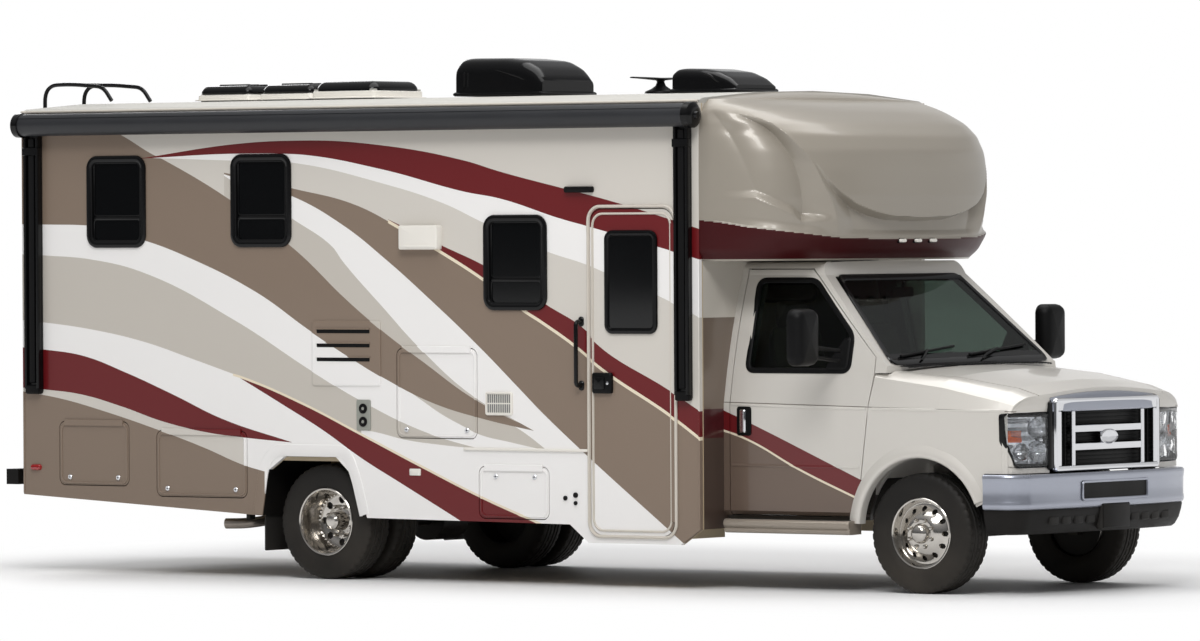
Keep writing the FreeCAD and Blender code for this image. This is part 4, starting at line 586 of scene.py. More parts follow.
def make_front_colours_and_shade():
    """The house's front face beside the cab: paint bands by height, darkened as painted shade."""
    work, _ = group("Front face paint and shade", {}, ("Color",))
    _, (x, _, z) = work.place()
    ramp = work.add("ShaderNodeValToRGB", {0: work.math("DIVIDE", z, SPAN_Z)})
    ramp.color_ramp.interpolation = "CONSTANT"
    # The bands are darker than the same bands on the sides, and more so toward the bottom: painted
    # shade of this face in its corner beside the cab.
    stops = ramp.color_ramp.elements
    stops[0].color = linear(70, 57, 50)
    stops[1].position, stops[1].color = 0.94 / SPAN_Z, linear(66, 18, 22)
    for height, tint in ((1.11, linear(112, 98, 86)), (1.68, linear(196, 190, 180))):
        stops.new(height / SPAN_Z).color = tint
    front = work.above(x, HOUSE_FRONT - 0.006)
    work.add("NodeGroupOutput", {"Color": work.mix(front, INSIDE, ramp.outputs[0])})


# name: (colour or paint group, roughness, metallic, coat, variation, its scale, relief scale,
#        relief strength, dust)
FINISHES = {
    "house_paint": ("House graphics", 0.30, 0.0, 0.12, 0.004, 1.3, 900.0, 0.004, 0.05),
    "cab_paint": ("Cab graphics and crease shade", 0.30, 0.15, 0.40, 0.005, 1.6, 900.0, 0.004, 0.06),
    "cab_pearl": ((204, 200, 193), 0.30, 0.15, 0.40, 0.005, 1.6, 900.0, 0.004, 0.06),
    "front_face_paint_and_shade": ("Front face paint and shade", 0.30, 0.0, 0.30, 0.005, 1.3, 900.0, 0.004, 0.05),
    "cap_gelcoat": ((146, 139, 128), 0.33, 0.10, 0.22, 0.006, 1.5, 700.0, 0.006, 0.0),
    "cap_red": ((58, 9, 12), 0.42, 0.0, 0.0, 0.02, 2.0, 700.0, 0.006, 0.0),
    "white_moulding": ((226, 222, 214), 0.35, 0.0, 0.20, 0.02, 3.0, 500.0, 0.02, 0.05),
    "cream_moulding": ((200, 193, 182), 0.32, 0.0, 0.30, 0.02, 3.0, 500.0, 0.02, 0.05),
    "roof_membrane": ((178, 176, 170), 0.75, 0.0, 0.0, 0.05, 2.5, 60.0, 0.15, 0.0),
    "black_plastic": ((9, 9, 10), 0.46, 0.0, 0.0, 0.10, 6.0, 450.0, 0.08, 0.10),
    "black_gloss": ((8, 8, 9), 0.18, 0.0, 0.08, 0.06, 5.0, 600.0, 0.01, 0.05),
    "black_rubber": ((24, 24, 24), 0.62, 0.0, 0.0, 0.10, 8.0, 350.0, 0.10, 0.15),
    "tyre_rubber": ((17, 17, 17), 0.58, 0.0, 0.0, 0.14, 9.0, 260.0, 0.14, 0.25),
    "chrome": ((214, 215, 218), 0.09, 1.0, 0.0, 0.03, 5.0, 400.0, 0.006, 0.10),
    "wheel_chrome": ((196, 192, 186), 0.14, 1.0, 0.0, 0.05, 9.0, 300.0, 0.012, 0.20),
    "silver_paint": ((160, 164, 176), 0.28, 0.70, 0.50, 0.006, 4.0, 900.0, 0.01, 0.05),
    "grey_plastic": ((120, 120, 118), 0.50, 0.0, 0.0, 0.06, 6.0, 400.0, 0.06, 0.10),
    "lens_clear": ((226, 228, 230), 0.03, 0.0, 0.3, 0.02, 9.0, 120.0, 0.02, 0.0),
    "lens_amber": ((240, 96, 12), 0.12, 0.0, 1.0, 0.10, 30.0, 140.0, 0.20, 0.0),
    "lens_red": ((150, 14, 16), 0.12, 0.0, 1.0, 0.10, 30.0, 140.0, 0.20, 0.0),
    "glass_dark": ((7, 8, 9), 0.05, 0.0, 0.0, 0.10, 1.0, 30.0, 0.003, 0.0),
    "glass_cab": ((122, 136, 128), 0.03, 0.0, 0.0, 0.05, 1.0, 8.0, 0.0, 0.0),
    "mirror_glass": ((200, 205, 208), 0.03, 1.0, 0.0, 0.02, 2.0, 60.0, 0.002, 0.0),
    "interior_board": ((186, 170, 142), 0.55, 0.0, 0.0, 0.05, 4.0, 160.0, 0.08, 0.0),
    "chassis_black": ((22, 21, 21), 0.55, 0.25, 0.0, 0.18, 6.0, 160.0, 0.12, 0.35),
    "cast_iron": ((52, 48, 45), 0.60, 0.70, 0.0, 0.20, 9.0, 180.0, 0.20, 0.25),
    "pipe_steel": ((140, 132, 124), 0.35, 0.90, 0.0, 0.16, 9.0, 180.0, 0.08, 0.20),
    "seat_cloth": ((112, 98, 82), 0.85, 0.0, 0.0, 0.10, 14.0, 520.0, 0.30, 0.0),
    "awning_cloth": ((36, 37, 40), 0.50, 0.0, 0.10, 0.08, 3.0, 420.0, 0.10, 0.0),
    "board_taupe": ((150, 140, 128), 0.38, 0.20, 0.20, 0.05, 5.0, 300.0, 0.06, 0.25),
    "outlet_grey": ((146, 148, 140), 0.45, 0.10, 0.0, 0.05, 6.0, 400.0, 0.05, 0.05),
}
FINISH_OF_NODE = {
    "house_paint": ("wall_left", "wall_right", "wall_rear", "entry_door", "hatch_rear",
                    "hatch_wheel", "hatch_galley", "hatch_step", "hatch_left"),
    "front_face_paint_and_shade": ("front_bulkhead",),
    "cab_paint": ("cab_body", "cab_door_left", "cab_door_right", "hood", "fenders"),
    "cap_gelcoat": ("front_cap",),
    "roof_membrane": ("house_roof",),
    "interior_board": ("house_floor", "lockers"),
    "glass_dark": ("window_glass", "entry_window"),
    "glass_cab": ("windshield", "cab_door_glass_left", "cab_door_glass_right"),
    "black_plastic": ("window_frames", "front_valance", "dashboard", "steering_wheel", "antenna",
                      "front_vent_lid", "rear_vent_lid", "roof_air_units", "mirror_left",
                      "mirror_right", "ladder", "rear_bumper"),
    "board_taupe": ("running_boards",),
    "silver_paint": ("front_bumper",),
    "chrome": ("grille",),
    "lens_clear": ("headlamps",),
    "lens_red": ("tail_lamps",),
    "chassis_black": ("chassis_frame", "front_axle", "rear_axle", "under_tanks"),
    "cast_iron": ("engine_block", "knuckle_left", "knuckle_right"),
    "pipe_steel": ("exhaust",),
    "awning_cloth": ("awning",),
    "white_moulding": ("side_fittings",),
    "tyre_rubber": ("front_tyre_left", "front_tyre_right", "rear_tyres_left",
                    "rear_tyres_right"),
    "wheel_chrome": ("front_rim_left", "front_rim_right", "rear_rims_left", "rear_rims_right"),
    "seat_cloth": ("cab_seats",),
}
SPECULAR = {"house_paint": 0.35, "black_plastic": 0.15, "black_gloss": 0.22, "cap_red": 0.20,
            "black_rubber": 0.25, "tyre_rubber": 0.20, "glass_dark": 0.40, "glass_cab": 0.10,
            "awning_cloth": 0.35}
TRANSMITTING = {"lens_clear": 0.97, "glass_cab": 1.0}
MADE = {}


def finish_named(name):
    """The finish of that name, made the first time it is asked for."""
    if name in MADE:
        return MADE[name]
    colour, rough, metal, coat, vary, vary_scale, relief_scale, relief, dust = FINISHES[name]
    made = MADE[name] = bpy.data.materials.new(name)
    work = emptied(made)
    colour = work.shared(colour)["Color"] if isinstance(colour, str) else linear(*colour)
    clouds = work.shared("Surface variation",
                         {"Color": colour, "Amount": vary, "Scale": vary_scale})
    result = clouds["Color"]
    if dust:
        result = work.shared("Road film", {"Color": result, "Amount": dust})["Color"]
    spread = 0.06 if rough > 0.35 else 0.008
    roughness = work.math("ADD", work.times(clouds["Shade"], spread), rough, clamp=True)
    grain = work.shared("Fine relief", {"Scale": relief_scale})["Height"]
    bump = work.add("ShaderNodeBump", {"Strength": relief, "Distance": 0.002, "Height": grain})
    shader = work.add("ShaderNodeBsdfPrincipled", {
        "Base Color": result, "Metallic": metal, "Roughness": roughness, "Coat Weight": coat,
        "Coat Roughness": 0.04, "Specular IOR Level": SPECULAR.get(name, 0.5),
        "Normal": bump.outputs["Normal"]})
    if name in TRANSMITTING:
        shader.inputs["Transmission Weight"].default_value = TRANSMITTING[name]
        shader.inputs["IOR"].default_value = 1.2
    work.add("ShaderNodeOutputMaterial", {"Surface": shader.outputs[0]})
    return made


def dress_frame():
    """Gives every CAD node its finish."""
    for maker in (make_variation, make_relief, make_road_film, make_house_graphics,
                  make_cab_graphics_and_crease_shade, make_front_colours_and_shade):
        maker()
    for name, nodes in FINISH_OF_NODE.items():
        made = finish_named(name)
        for each in nodes:
            mesh = NODES[each].data
            if mesh.materials:
                for index in range(len(mesh.materials)):
                    mesh.materials[index] = made
            else:
                mesh.materials.append(made)


# ----------------------------------------------------------------------------------------------
# House: cap over the cab, windows, hatches, door trim, fittings
# ----------------------------------------------------------------------------------------------
# Rows of the cap: rise above its bottom, reach ahead of the house, half width
CAP_ROWS = ((0.000, 0.640, 1.205), (0.055, 0.720, 1.236), (0.150, 0.800, 1.238),
            (0.270, 0.835, 1.238), (0.410, 0.845, 1.238), (0.560, 0.830, 1.238),
            (0.680, 0.800, 1.236), (0.780, 0.735, 1.234), (0.860, 0.620, 1.228),
            (0.930, 0.440, 1.208), (0.980, 0.260, 1.175), (1.005, 0.120, 1.120))

# Creases as (share of the way from a side to the nose, rise)
CAP_CREASES = {
    "valley_1": ((0.05, 0.925), (0.11, 0.745), (0.163, 0.57), (0.205, 0.435)),
    "valley_2": ((0.23, 0.9), (0.333, 0.825), (0.385, 0.725), (0.427, 0.63), (0.46, 0.505),
                 (0.473, 0.37), (0.482, 0.215)),
    "ridge": ((0.325, 0.905), (0.395, 0.845), (0.455, 0.73), (0.527, 0.605), (0.573, 0.47),
              (0.623, 0.34), (0.657, 0.22), (0.677, 0.145)),
    "bulge": ((0.535, 0.62), (0.595, 0.505), (0.662, 0.42), (0.74, 0.35), (0.825, 0.305),
              (0.912, 0.275), (1.0, 0.265)),
    "low": ((0.205, 0.43), (0.297, 0.385), (0.41, 0.33), (0.463, 0.285)),
    "band": ((0.0, 0.25), (0.165, 0.21), (0.383, 0.18), (0.685, 0.14), (0.905, 0.13),
             (1.0, 0.13)),
}


def ease(value, low, high):
    """0 below one limit, 1 above the other, and a smooth step between."""
    share = np.clip((value - low) / (high - low), 0, 1)
    return share * share * (3 - 2 * share)


def crease_share(name, rise):
    """Where a crease that runs up the cap lies at each rise."""
    points = np.array(sorted(CAP_CREASES[name], key=lambda point: point[1]))
    return np.interp(rise, points[:, 1], points[:, 0])


def crease_rise(name, share):
    """How high a crease that runs along the cap lies at each share of the way."""
    points = np.array(CAP_CREASES[name])
    return np.interp(share, points[:, 0], points[:, 1])


def cap_surface(columns=321, rows=151):
    """The cap's skin: an outline in plan for each rise, squarer than an ellipse, with a
    smooth step in or out between the creases. Returns points (rows, columns, 3) from the
    door side over the nose, the share of the way from a side to the nose, and the rise."""
    heights, reaches, halves = np.array(CAP_ROWS).T
    rise = np.interp(np.linspace(0, 1, rows), np.linspace(0, 1, 7),
                     (0.0, 0.13, 0.30, 0.52, 0.74, 0.92, 1.005))[:, None]
    share = np.linspace(0, 2, columns)[None, :]
    near = np.where(share > 1, 2 - share, share)
    level = np.linspace(0, heights[-1], 400)
    kernel = np.hanning(31) / np.hanning(31).sum()
    reach, half = (np.interp(rise, level, np.convolve(np.pad(
        np.interp(level, heights, line), 15, mode="edge"), kernel, "valid"))
        for line in (reaches, halves))
    turn = (1 - near) * np.pi / 2
    squareness = 0.66
    along = reach * np.sign(np.cos(turn)) * np.abs(np.cos(turn)) ** squareness
    across = half * np.sin(turn) ** squareness
    one, two, ridge = (crease_share(name, rise) for name in ("valley_1", "valley_2", "ridge"))
    bulge, low, band = (crease_rise(name, near) for name in ("bulge", "low", "band"))
    rear = np.clip((near - 0.02) / np.maximum(one - 0.02, 0.02), 0, 1)
    scoop = np.clip((near - one) / np.maximum(two - one, 0.03), 0, 1)
    flank = np.clip((near - two) / np.maximum(ridge - two, 0.03), 0, 1)
    lower = 1 - 0.65 * ease(low - rise, -0.01, 0.05)
    sides = (0.050 * rear + 0.060 * scoop ** 1.5 - 0.110 * flank) * lower
    under = np.clip((near - ridge) / 0.10, 0, 1) * np.clip((bulge - rise) / 0.025, 0, 1)
    slope = 0.35 + 0.65 * np.clip((rise - band) / np.maximum(bulge - band, 0.05), 0, 1)
    push = -sides * (1 - ease(rise, 0.78, 0.96)) - 0.075 * under * slope
    push *= ease(rise, band - 0.01, band + 0.06)
    push += 0.012 * (1 - ease(rise, band - 0.004, band + 0.012)) * ease(near, 0.0, 0.05)
    x = HOUSE_FRONT + along + push * np.cos(turn)
    y = (across + push * 0.8 * np.sin(turn)) * np.where(share > 1, 1, -1)
    return joined(x, y, CAP_BOTTOM + rise), near, rise


def against_house(row):
    """The points of a row moved back to the house's front."""
    return row * (0, 1, 1) + (HOUSE_FRONT, 0, 0)


def make_cap():
    """The moulded cap: its skin with creases, a crowned top and a flat underside, and three
    small lights over the windshield."""
    skin, near, rise = cap_surface()
    shell = Shell()
    middle = (near[:, 1:] + near[:, :-1]) / 2
    level = (rise[1:] + rise[:-1]) / 2
    red = (level < crease_rise("band", middle)) & (level > 0.010)
    shell.grid(skin, number=red.astype(int))
    share = np.linspace(0, 1, 12)[:, None, None]
    crown = skin[-1] * (1 - share) + against_house(skin[-1]) * share
    width = np.clip(1 - (crown[..., 1] / 1.12) ** 2, 0, 1)
    crown[..., 2] += 0.055 * width * np.sqrt(share[..., 0])
    shell.grid(crown)
    shell.grid(np.stack([skin[0], against_house(skin[0])]))
    made = shell.build("cap_skin", "motorhome", ["cap_gelcoat", "cap_red"], "cap_skin",
                       smooth=12)
    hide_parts("front_cap")
    lights = Shell()
    row = skin[np.argmin(np.abs(rise[:, 0] - 0.118))]
    for across in (-0.17, 0.0, 0.17):
        x, y, z = row[np.argmin(np.abs(row[:, 1] - across))]
        for number, (width, tall, depth) in enumerate(((0.075, 0.030, 0.006),
                                                       (0.062, 0.022, 0.022))):
            loop = rounded(width, tall, tall * 0.45) + [y, z]
            lights.plate(loop, ((0, x - 0.02), (0, x + depth - 0.004), (-0.003, x + depth)),
                         on_front, number)
    lights.build("cap_lights", "motorhome", ["black_gloss", "white_moulding"], "white_plastic")


WINDOWS = (  # wall, place along, height of the middle
    (-1, -2.958, 2.437), (-1, -1.740, 2.437), (-1, 0.316, 2.033), (1, -2.958, 2.437),
    (1, -1.100, 2.033), (1, 0.700, 2.033), (0, 0.0, 2.033))


def make_windows():
    """Black window frames with a rounded lip, a thin bar across the middle and dark panes."""
    shell = Shell()
    for wall, a, b in WINDOWS:
        place = on_side(wall) if wall else on_rear
        shell.bead(rounded(0.490, 0.592, 0.078, 8) + [a, b],
                   ((0.004, 0.0), (0.006, 0.006), (0.003, 0.013), (-0.004, 0.016),
                    (-0.022, 0.017), (-0.034, 0.013), (-0.042, 0.004), (-0.043, -0.010)), place)
        shell.plate(between(a - 0.205, a + 0.205, b - 0.118, b - 0.100, 0.006, 2),
                    ((0, -0.012), (0, 0.002), (-0.004, 0.005)), place)
        for low, high in ((-0.262, -0.108), (-0.100, 0.262)):
            shell.bead(between(a - 0.204, a + 0.204, b + low, b + high, 0.030, 4),
                       ((0.0, -0.004), (-0.006, -0.001), (-0.012, -0.004)), place)
    shell.build("window_trims", "motorhome", ["black_gloss"], "black_plastic")


HATCHES = (  # body, wall, X from, X to, Z from, Z to, latches as shares of the width
    ("hatch_rear", -1, -3.457, -2.868, 0.580, 0.993, (0.15, 0.85)),
    ("hatch_wheel", -1, -2.627, -1.874, 0.517, 0.942, (0.12, 0.88)),
    ("hatch_galley", -1, -0.636, 0.002, 0.921, 1.487, (0.12, 0.88)),
    ("hatch_step", -1, 0.020, 0.568, 0.420, 0.743, (0.24, 0.80)),
    ("hatch_left", 1, -3.457, -2.868, 0.580, 0.993, (0.15, 0.85)))


def make_hatches():
    """A thin raised edge round each storage hatch and two round latches."""
    for body, wall, x0, x1, z0, z1, latches in HATCHES:
        place = on_side(wall)
        shell = Shell()
        shell.bead(between(x0 + 0.012, x1 - 0.012, z0 + 0.012, z1 - 0.012, 0.045),
                   ((0.004, -0.002), (0.004, 0.004), (0.0, 0.0065), (-0.006, 0.0065),
                    (-0.010, 0.004), (-0.011, -0.002)), place)
        z = z1 - 0.060 if body == "hatch_step" else z0 + 0.050
        for share in latches:
            centre = [x0 + share * (x1 - x0), z]
            shell.plate(rounded(0.034, 0.034, 0.0169, 5) + centre,
                        ((0, 0), (0, 0.006), (-0.003, 0.009), (-0.012, 0.009),
                         (-0.0135, 0.006)), place, 1)
            shell.plate(rounded(0.004, 0.016, 0.0015, 1) + centre, ((0, 0.004), (0, 0.0075)),
                        place, 2)
        shell.build(body + "_trim", body, ["house_paint", "chrome", "black_plastic"],
                    "body_skin")


def make_entry_door():
    """The entry door's thick rounded frame, its window's rim and its lock."""
    place = on_side(-1)
    shell = Shell()
    shell.bead(between(0.883, 1.567, 0.314, 2.389, 0.095, 8),
               ((0.003, 0.0), (0.004, 0.009), (0.0, 0.015), (-0.006, 0.017), (-0.012, 0.014),
                (-0.016, 0.005), (-0.017, 0.0)), place)
    shell.bead(between(0.915, 1.529, 0.352, 2.343, 0.080, 8),
               ((0.001, 0.0), (0.001, 0.006), (-0.003, 0.009), (-0.009, 0.009),
                (-0.012, 0.004), (-0.013, 0.0)), place)
    shell.build("entry_door_frame", "motorhome", ["cream_moulding"], "white_plastic")
    door = Shell()
    door.bead(between(1.020, 1.420, 1.590, 2.230, 0.055, 8),
              ((0.002, 0.0), (0.004, 0.008), (0.0, 0.015), (-0.012, 0.018), (-0.026, 0.016),
               (-0.034, 0.006), (-0.035, -0.012)), place)
    door.plate(between(0.925, 1.075, 1.214, 1.344, 0.016, 4),
               ((0.0, 0.0), (0.0, 0.020), (-0.005, 0.026), (-0.013, 0.028)), place, 1)
    door.plate(between(0.945, 1.030, 1.236, 1.322, 0.012, 4),
               ((0.0, 0.024), (-0.004, 0.034), (-0.010, 0.036)), place, 2)
    door.plate(rounded(0.020, 0.020, 0.0099, 4) + [1.052, 1.279],
               ((0, 0.026), (0, 0.033), (-0.004, 0.035)), place, 3)
    door.build("entry_door_trim", "entry_door",
               ["black_gloss", "black_plastic", "black_gloss", "chrome"], "black_plastic")


SIDE_FINISHES = ["house_paint", "black_plastic", "white_moulding", "outlet_grey",
                 "grey_plastic", "lens_red"]

# Plates on the door side: X from, X to, Z from, Z to, corner radius, its steps, profile,
# number in the list of finishes
SIDE_PLATES = (
    (-1.328, -0.767, 1.244, 1.664, 0.020, 4,
     ((0, 0), (0, 0.005), (-0.004, 0.008), (-0.016, 0.008)), 0),
    (-0.583, -0.272, 2.117, 2.272, 0.012, 4,
     ((0, 0), (0, 0.045), (-0.004, 0.051), (-0.010, 0.053)), 2),
    (-0.567, -0.288, 2.129, 2.147, 0.004, 2, ((0, 0.040), (0, 0.056), (-0.003, 0.058)), 2),
    (-0.963, -0.850, 0.962, 1.159, 0.012, 3,
     ((0, 0), (0, 0.006), (-0.004, 0.009), (-0.012, 0.009)), 3),
    (0.076, 0.289, 1.069, 1.219, 0.018, 3,
     ((0, 0), (0, 0.010), (-0.004, 0.014), (-0.012, 0.014), (-0.014, 0.006)), 2),
    (0.716, 0.934, 2.470, 2.509, 0.012, 4,
     ((0, 0), (0, 0.024), (-0.006, 0.034), (-0.011, 0.036)), 1),
    (-3.704, -3.616, 0.670, 0.710, 0.0199, 6,
     ((0, 0), (0, 0.010), (-0.006, 0.018), (-0.016, 0.020)), 5),
    (-0.536, -0.448, 0.680, 0.723, 0.006, 2, ((0, 0), (0, 0.006), (-0.003, 0.008)), 2),
    (-0.10, 0.878, 0.846, 0.864, 0.008, 3, ((0, 0), (0, 0.010), (-0.004, 0.014)), 2),
)


def make_fittings():
    """Fittings on the door side: vents, outlets, lamp, markers, rail and grab handle."""
    place = on_side(-1)
    shell = Shell()
    for *span, profile, number in SIDE_PLATES:
        shell.plate(between(*span), profile, place, number)
    for z in (1.595, 1.505, 1.415):
        shell.plate(between(-1.283, -0.852, z - 0.012, z + 0.012, 0.004, 2),
                    ((0, 0.004), (0, 0.0095)), place, 1)
        shell.plate(between(-1.288, -0.847, z + 0.012, z + 0.020, 0.002, 1),
                    ((0, 0.004), (0, 0.016), (-0.002, 0.018)), place)
    for z in (1.018, 1.102):
        shell.plate(rounded(0.064, 0.064, 0.0318) + [-0.9065, z],
                    ((0, 0.006), (0, 0.014), (-0.004, 0.017), (-0.012, 0.017),
                     (-0.016, 0.013)), place, 1)
        shell.plate(rounded(0.024, 0.024, 0.0118, 4) + [-0.9065, z],
                    ((0, 0.010), (-0.002, 0.015)), place, 3)
    for x, z, width in ((0.70, 0.555, 0.030), (0.78, 0.575, 0.034), (0.78, 0.525, 0.026)):
        shell.plate(rounded(width, width, width * 0.49, 5) + [x, z],
                    ((0, 0), (0, 0.008), (-0.003, 0.011)), place, 1)
    for x in np.linspace(0.098, 0.267, 11):
        for low, high in ((1.087, 1.140), (1.148, 1.201)):
            shell.plate(between(x - 0.0055, x + 0.0055, low, high, 0.002, 1),
                        ((0, 0.004), (0, 0.0075)), place, 4)
    made = shell.build("side_trims", "motorhome", SIDE_FINISHES, "white_plastic")
    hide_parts("side_fittings")
    handle = Shell()
    x, low, high, off = 0.830, 1.262, 1.663, 0.060
    handle.rod(curved(((x, -SIDE, low), (x, -SIDE - off, low), (x, -SIDE - off, high),
                       (x, -SIDE, high)), 0.045, 8), 0.0135, up=(1, 0, 0), sides=14)
    for z in (low, high):
        handle.plate(rounded(0.040, 0.062, 0.018, 5) + [x, z],
                     ((0, 0), (0, 0.006), (-0.006, 0.011)), place)
    handle.build("grab_handle_trim", "motorhome", ["black_gloss"], "black_plastic")


ARCH = ((-1.748, 0.405), (-1.698, 0.694), (-1.660, 0.760), (-1.600, 0.790), (-1.100, 0.790),
        (-1.062, 0.762), (-1.008, 0.640), (-0.944, 0.411))


def make_edge_trims():
    """Trims at the corners of the house, gutters along the roof, flanges of the rear arches."""
    shell = Shell()
    arch = curved(ARCH, 0.06)
    for sign in (-1, 1):
        shell.grid(carried(arch, ((-0.001, -0.030), (-0.001, 0.002), (0.002, 0.004),
                                  (0.074, 0.003), (0.078, -0.001)), on_side(sign)), number=1)
        shell.grid(carried(arch, ((-0.003, -0.004), (-0.004, -0.620)), on_side(sign)), number=2)
        for x, low, high in ((HOUSE_REAR + 0.006, 0.52, 2.98), (HOUSE_FRONT - 0.004, 0.40, 2.05)):
            y = sign * (SIDE + 0.001)
            shell.rod(((x, y, low), (x, y, high)), 0.007, 1, up=(1, 0, 0), sides=10)
        y, z = sign * (SIDE + 0.004), WALL_TOP + 0.012
        shell.rod(((HOUSE_REAR, y, z), (HOUSE_FRONT, y, z)), 0.010, sides=10)
    shell.build("corner_trims", "motorhome",
                ["cream_moulding", "house_paint", "black_plastic"], "white_plastic")


# Blocks of an awning arm by two corners each: along from a part of the arm, height over the
# wall, Z; then bevel and number of the finish
AWNING_BLOCKS = (
    (("near", 0.0, -0.030, 1.185), ("far", 0.0, 0.0, 2.92), 0.006, 1),
    (("near", 0.0, -0.052, 1.205), ("near", 0.022, -0.020, 2.90), 0.006, 1),
    (("far", -0.022, -0.052, 1.205), ("far", 0.0, -0.020, 2.90), 0.006, 1),
    (("middle", -0.024, -0.046, 1.245), ("middle", 0.024, -0.028, 2.86), 0.006, 2),
    (("near", 0.004, -0.050, 1.173), ("far", -0.004, 0.0, 1.235), 0.008, 2),
    (("near", -0.004, -0.058, 2.745), ("far", 0.004, -0.020, 2.800), 0.004, 1),
)


def make_awning():
    """The rolled awning on the door side: roll, end caps, arms with their slots, brackets."""
    shell = Shell()
    x0, x1, y, z = -3.745, 1.765, -SIDE - 0.078, 2.944
    shell.lathe(((0.0, 0.070), (0.06, 0.071), (5.45, 0.071), (5.51, 0.070)), (x0, y, z), "X",
                1, 40)
    angle = np.radians(np.linspace(38, 178, 15))
    shell.grid(joined(np.array([[x0 + 0.05], [x1 - 0.05]]), y - 0.0745 * np.cos(angle),
                      z + 0.0745 * np.sin(angle)), number=3)
    for x, sign in ((x0, 1), (x1, -1)):
        shell.lathe(((-0.012, 0.0), (-0.012, 0.040), (-0.006, 0.066), (0.006, 0.080),
                     (0.050, 0.082), (0.056, 0.074), (0.056, 0.0)), (x, y, z), "X", sign, 40, 1)
        shell.lathe(((-0.030, 0.0), (-0.030, 0.020), (-0.010, 0.026)), (x, y, z), "X", sign,
                    24, 1)
    for x, wide in ((-3.657, 0.126), (1.635, 0.111)):
        start = {"near": x - wide / 2, "middle": x, "far": x + wide / 2}
        for *ends, bevel, number in AWNING_BLOCKS:
            one, two = ((start[part] + a, b - SIDE, c) for part, a, b, c in ends)
            shell.block(one, two, bevel, number)
    made = shell.build("awning_roll", "motorhome",
                       ["awning_cloth", "black_gloss", "black_plastic", "awning_cloth"],
                       "awning_vinyl")
    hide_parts("awning")


# ----------------------------------------------------------------------------------------------
# Roof, rear wall
# ----------------------------------------------------------------------------------------------
def shroud(x0, x1, half, base, top, outline):
    """A moulded roof unit from its rear end to its front end: soft-shouldered arches across
    the roof, as high as the outline of (share along, share of the rise) points."""
    share = np.linspace(0, 1, 33)
    rise = (top - base) * np.interp(share, *np.array(outline).T)
    rise[1:-1] = np.convolve(rise, (0.25, 0.5, 0.25), "same")[1:-1]
    angle = np.linspace(0, np.pi, 25)
    across = -np.sign(np.cos(angle)) * np.abs(np.cos(angle)) ** 0.28
    width = half * (1 - 0.06 * np.abs(2 * share - 1) ** 4)
    return joined((x0 + (x1 - x0) * share)[:, None], width[:, None] * across,
                  base + rise[:, None] * np.abs(np.sin(angle)) ** 0.28)


ROOF_UNITS = (  # X from, X to, half width, base, top, outline from the rear
    (-0.890, -0.190, 0.295, 3.118, 3.355,
     ((0.0, 0.80), (0.03, 0.97), (0.12, 1.0), (0.55, 0.985), (0.78, 0.91), (0.92, 0.70),
      (1.0, 0.40))),
    (0.800, 1.300, 0.230, 3.116, 3.262,
     ((0.0, 0.85), (0.04, 0.97), (0.14, 1.0), (0.45, 0.97), (0.70, 0.84), (0.88, 0.58),
      (1.0, 0.25))))


def make_roof_units():
    """Two roof air units with sculpted black shrouds and vent slots at their rear ends."""
    shell = Shell()
    for x0, x1, half, base, top, outline in ROOF_UNITS:
        rise = top - base
        skin = shroud(x0, x1, half, base, top, outline)
        shell.grid(skin)
        shell.lid(skin[0])
        shell.lid(skin[-1])
        shell.block((x0 - 0.008, -half - 0.010, base - 0.012),
                    (x1 + 0.008, half + 0.010, base + 0.014), 0.008)
        for share in np.linspace(-0.78, 0.78, 9):
            shell.block((x0 - 0.004, half * (share - 0.045), base + 0.035),
                        (x0 + 0.030, half * (share + 0.045), base + 0.62 * rise), 0.004, 1)
        for sign in (-1, 1):
            y = sign * (half - 0.012)
            for x in np.linspace(x0 + 0.07, x0 + 0.19, 5):
                shell.block((x, y - 0.008, base + 0.045),
                            (x + 0.016, y + 0.008, base + 0.60 * rise), 0.003, 1)
            crease = [(x, sign * half * out, base + up * rise) for x, out, up in (
                (x0 + 0.10, 0.90, 0.80), (x0 + 0.30, 0.97, 0.70), (x1 - 0.15, 0.985, 0.42),
                (x1 - 0.04, 0.90, 0.16))]
            shell.rod(curved(crease, 0.12, 8), 0.007, sides=8)
    made = shell.build("roof_unit_shrouds", "motorhome", ["black_gloss", "black_plastic"],
                       "roof_unit_shell", smooth=42)
    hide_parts("roof_air_units")


VENTS = (("front_vent_lid", -2.360), ("rear_vent_lid", -2.890))
SKYLIGHT_X = -1.840


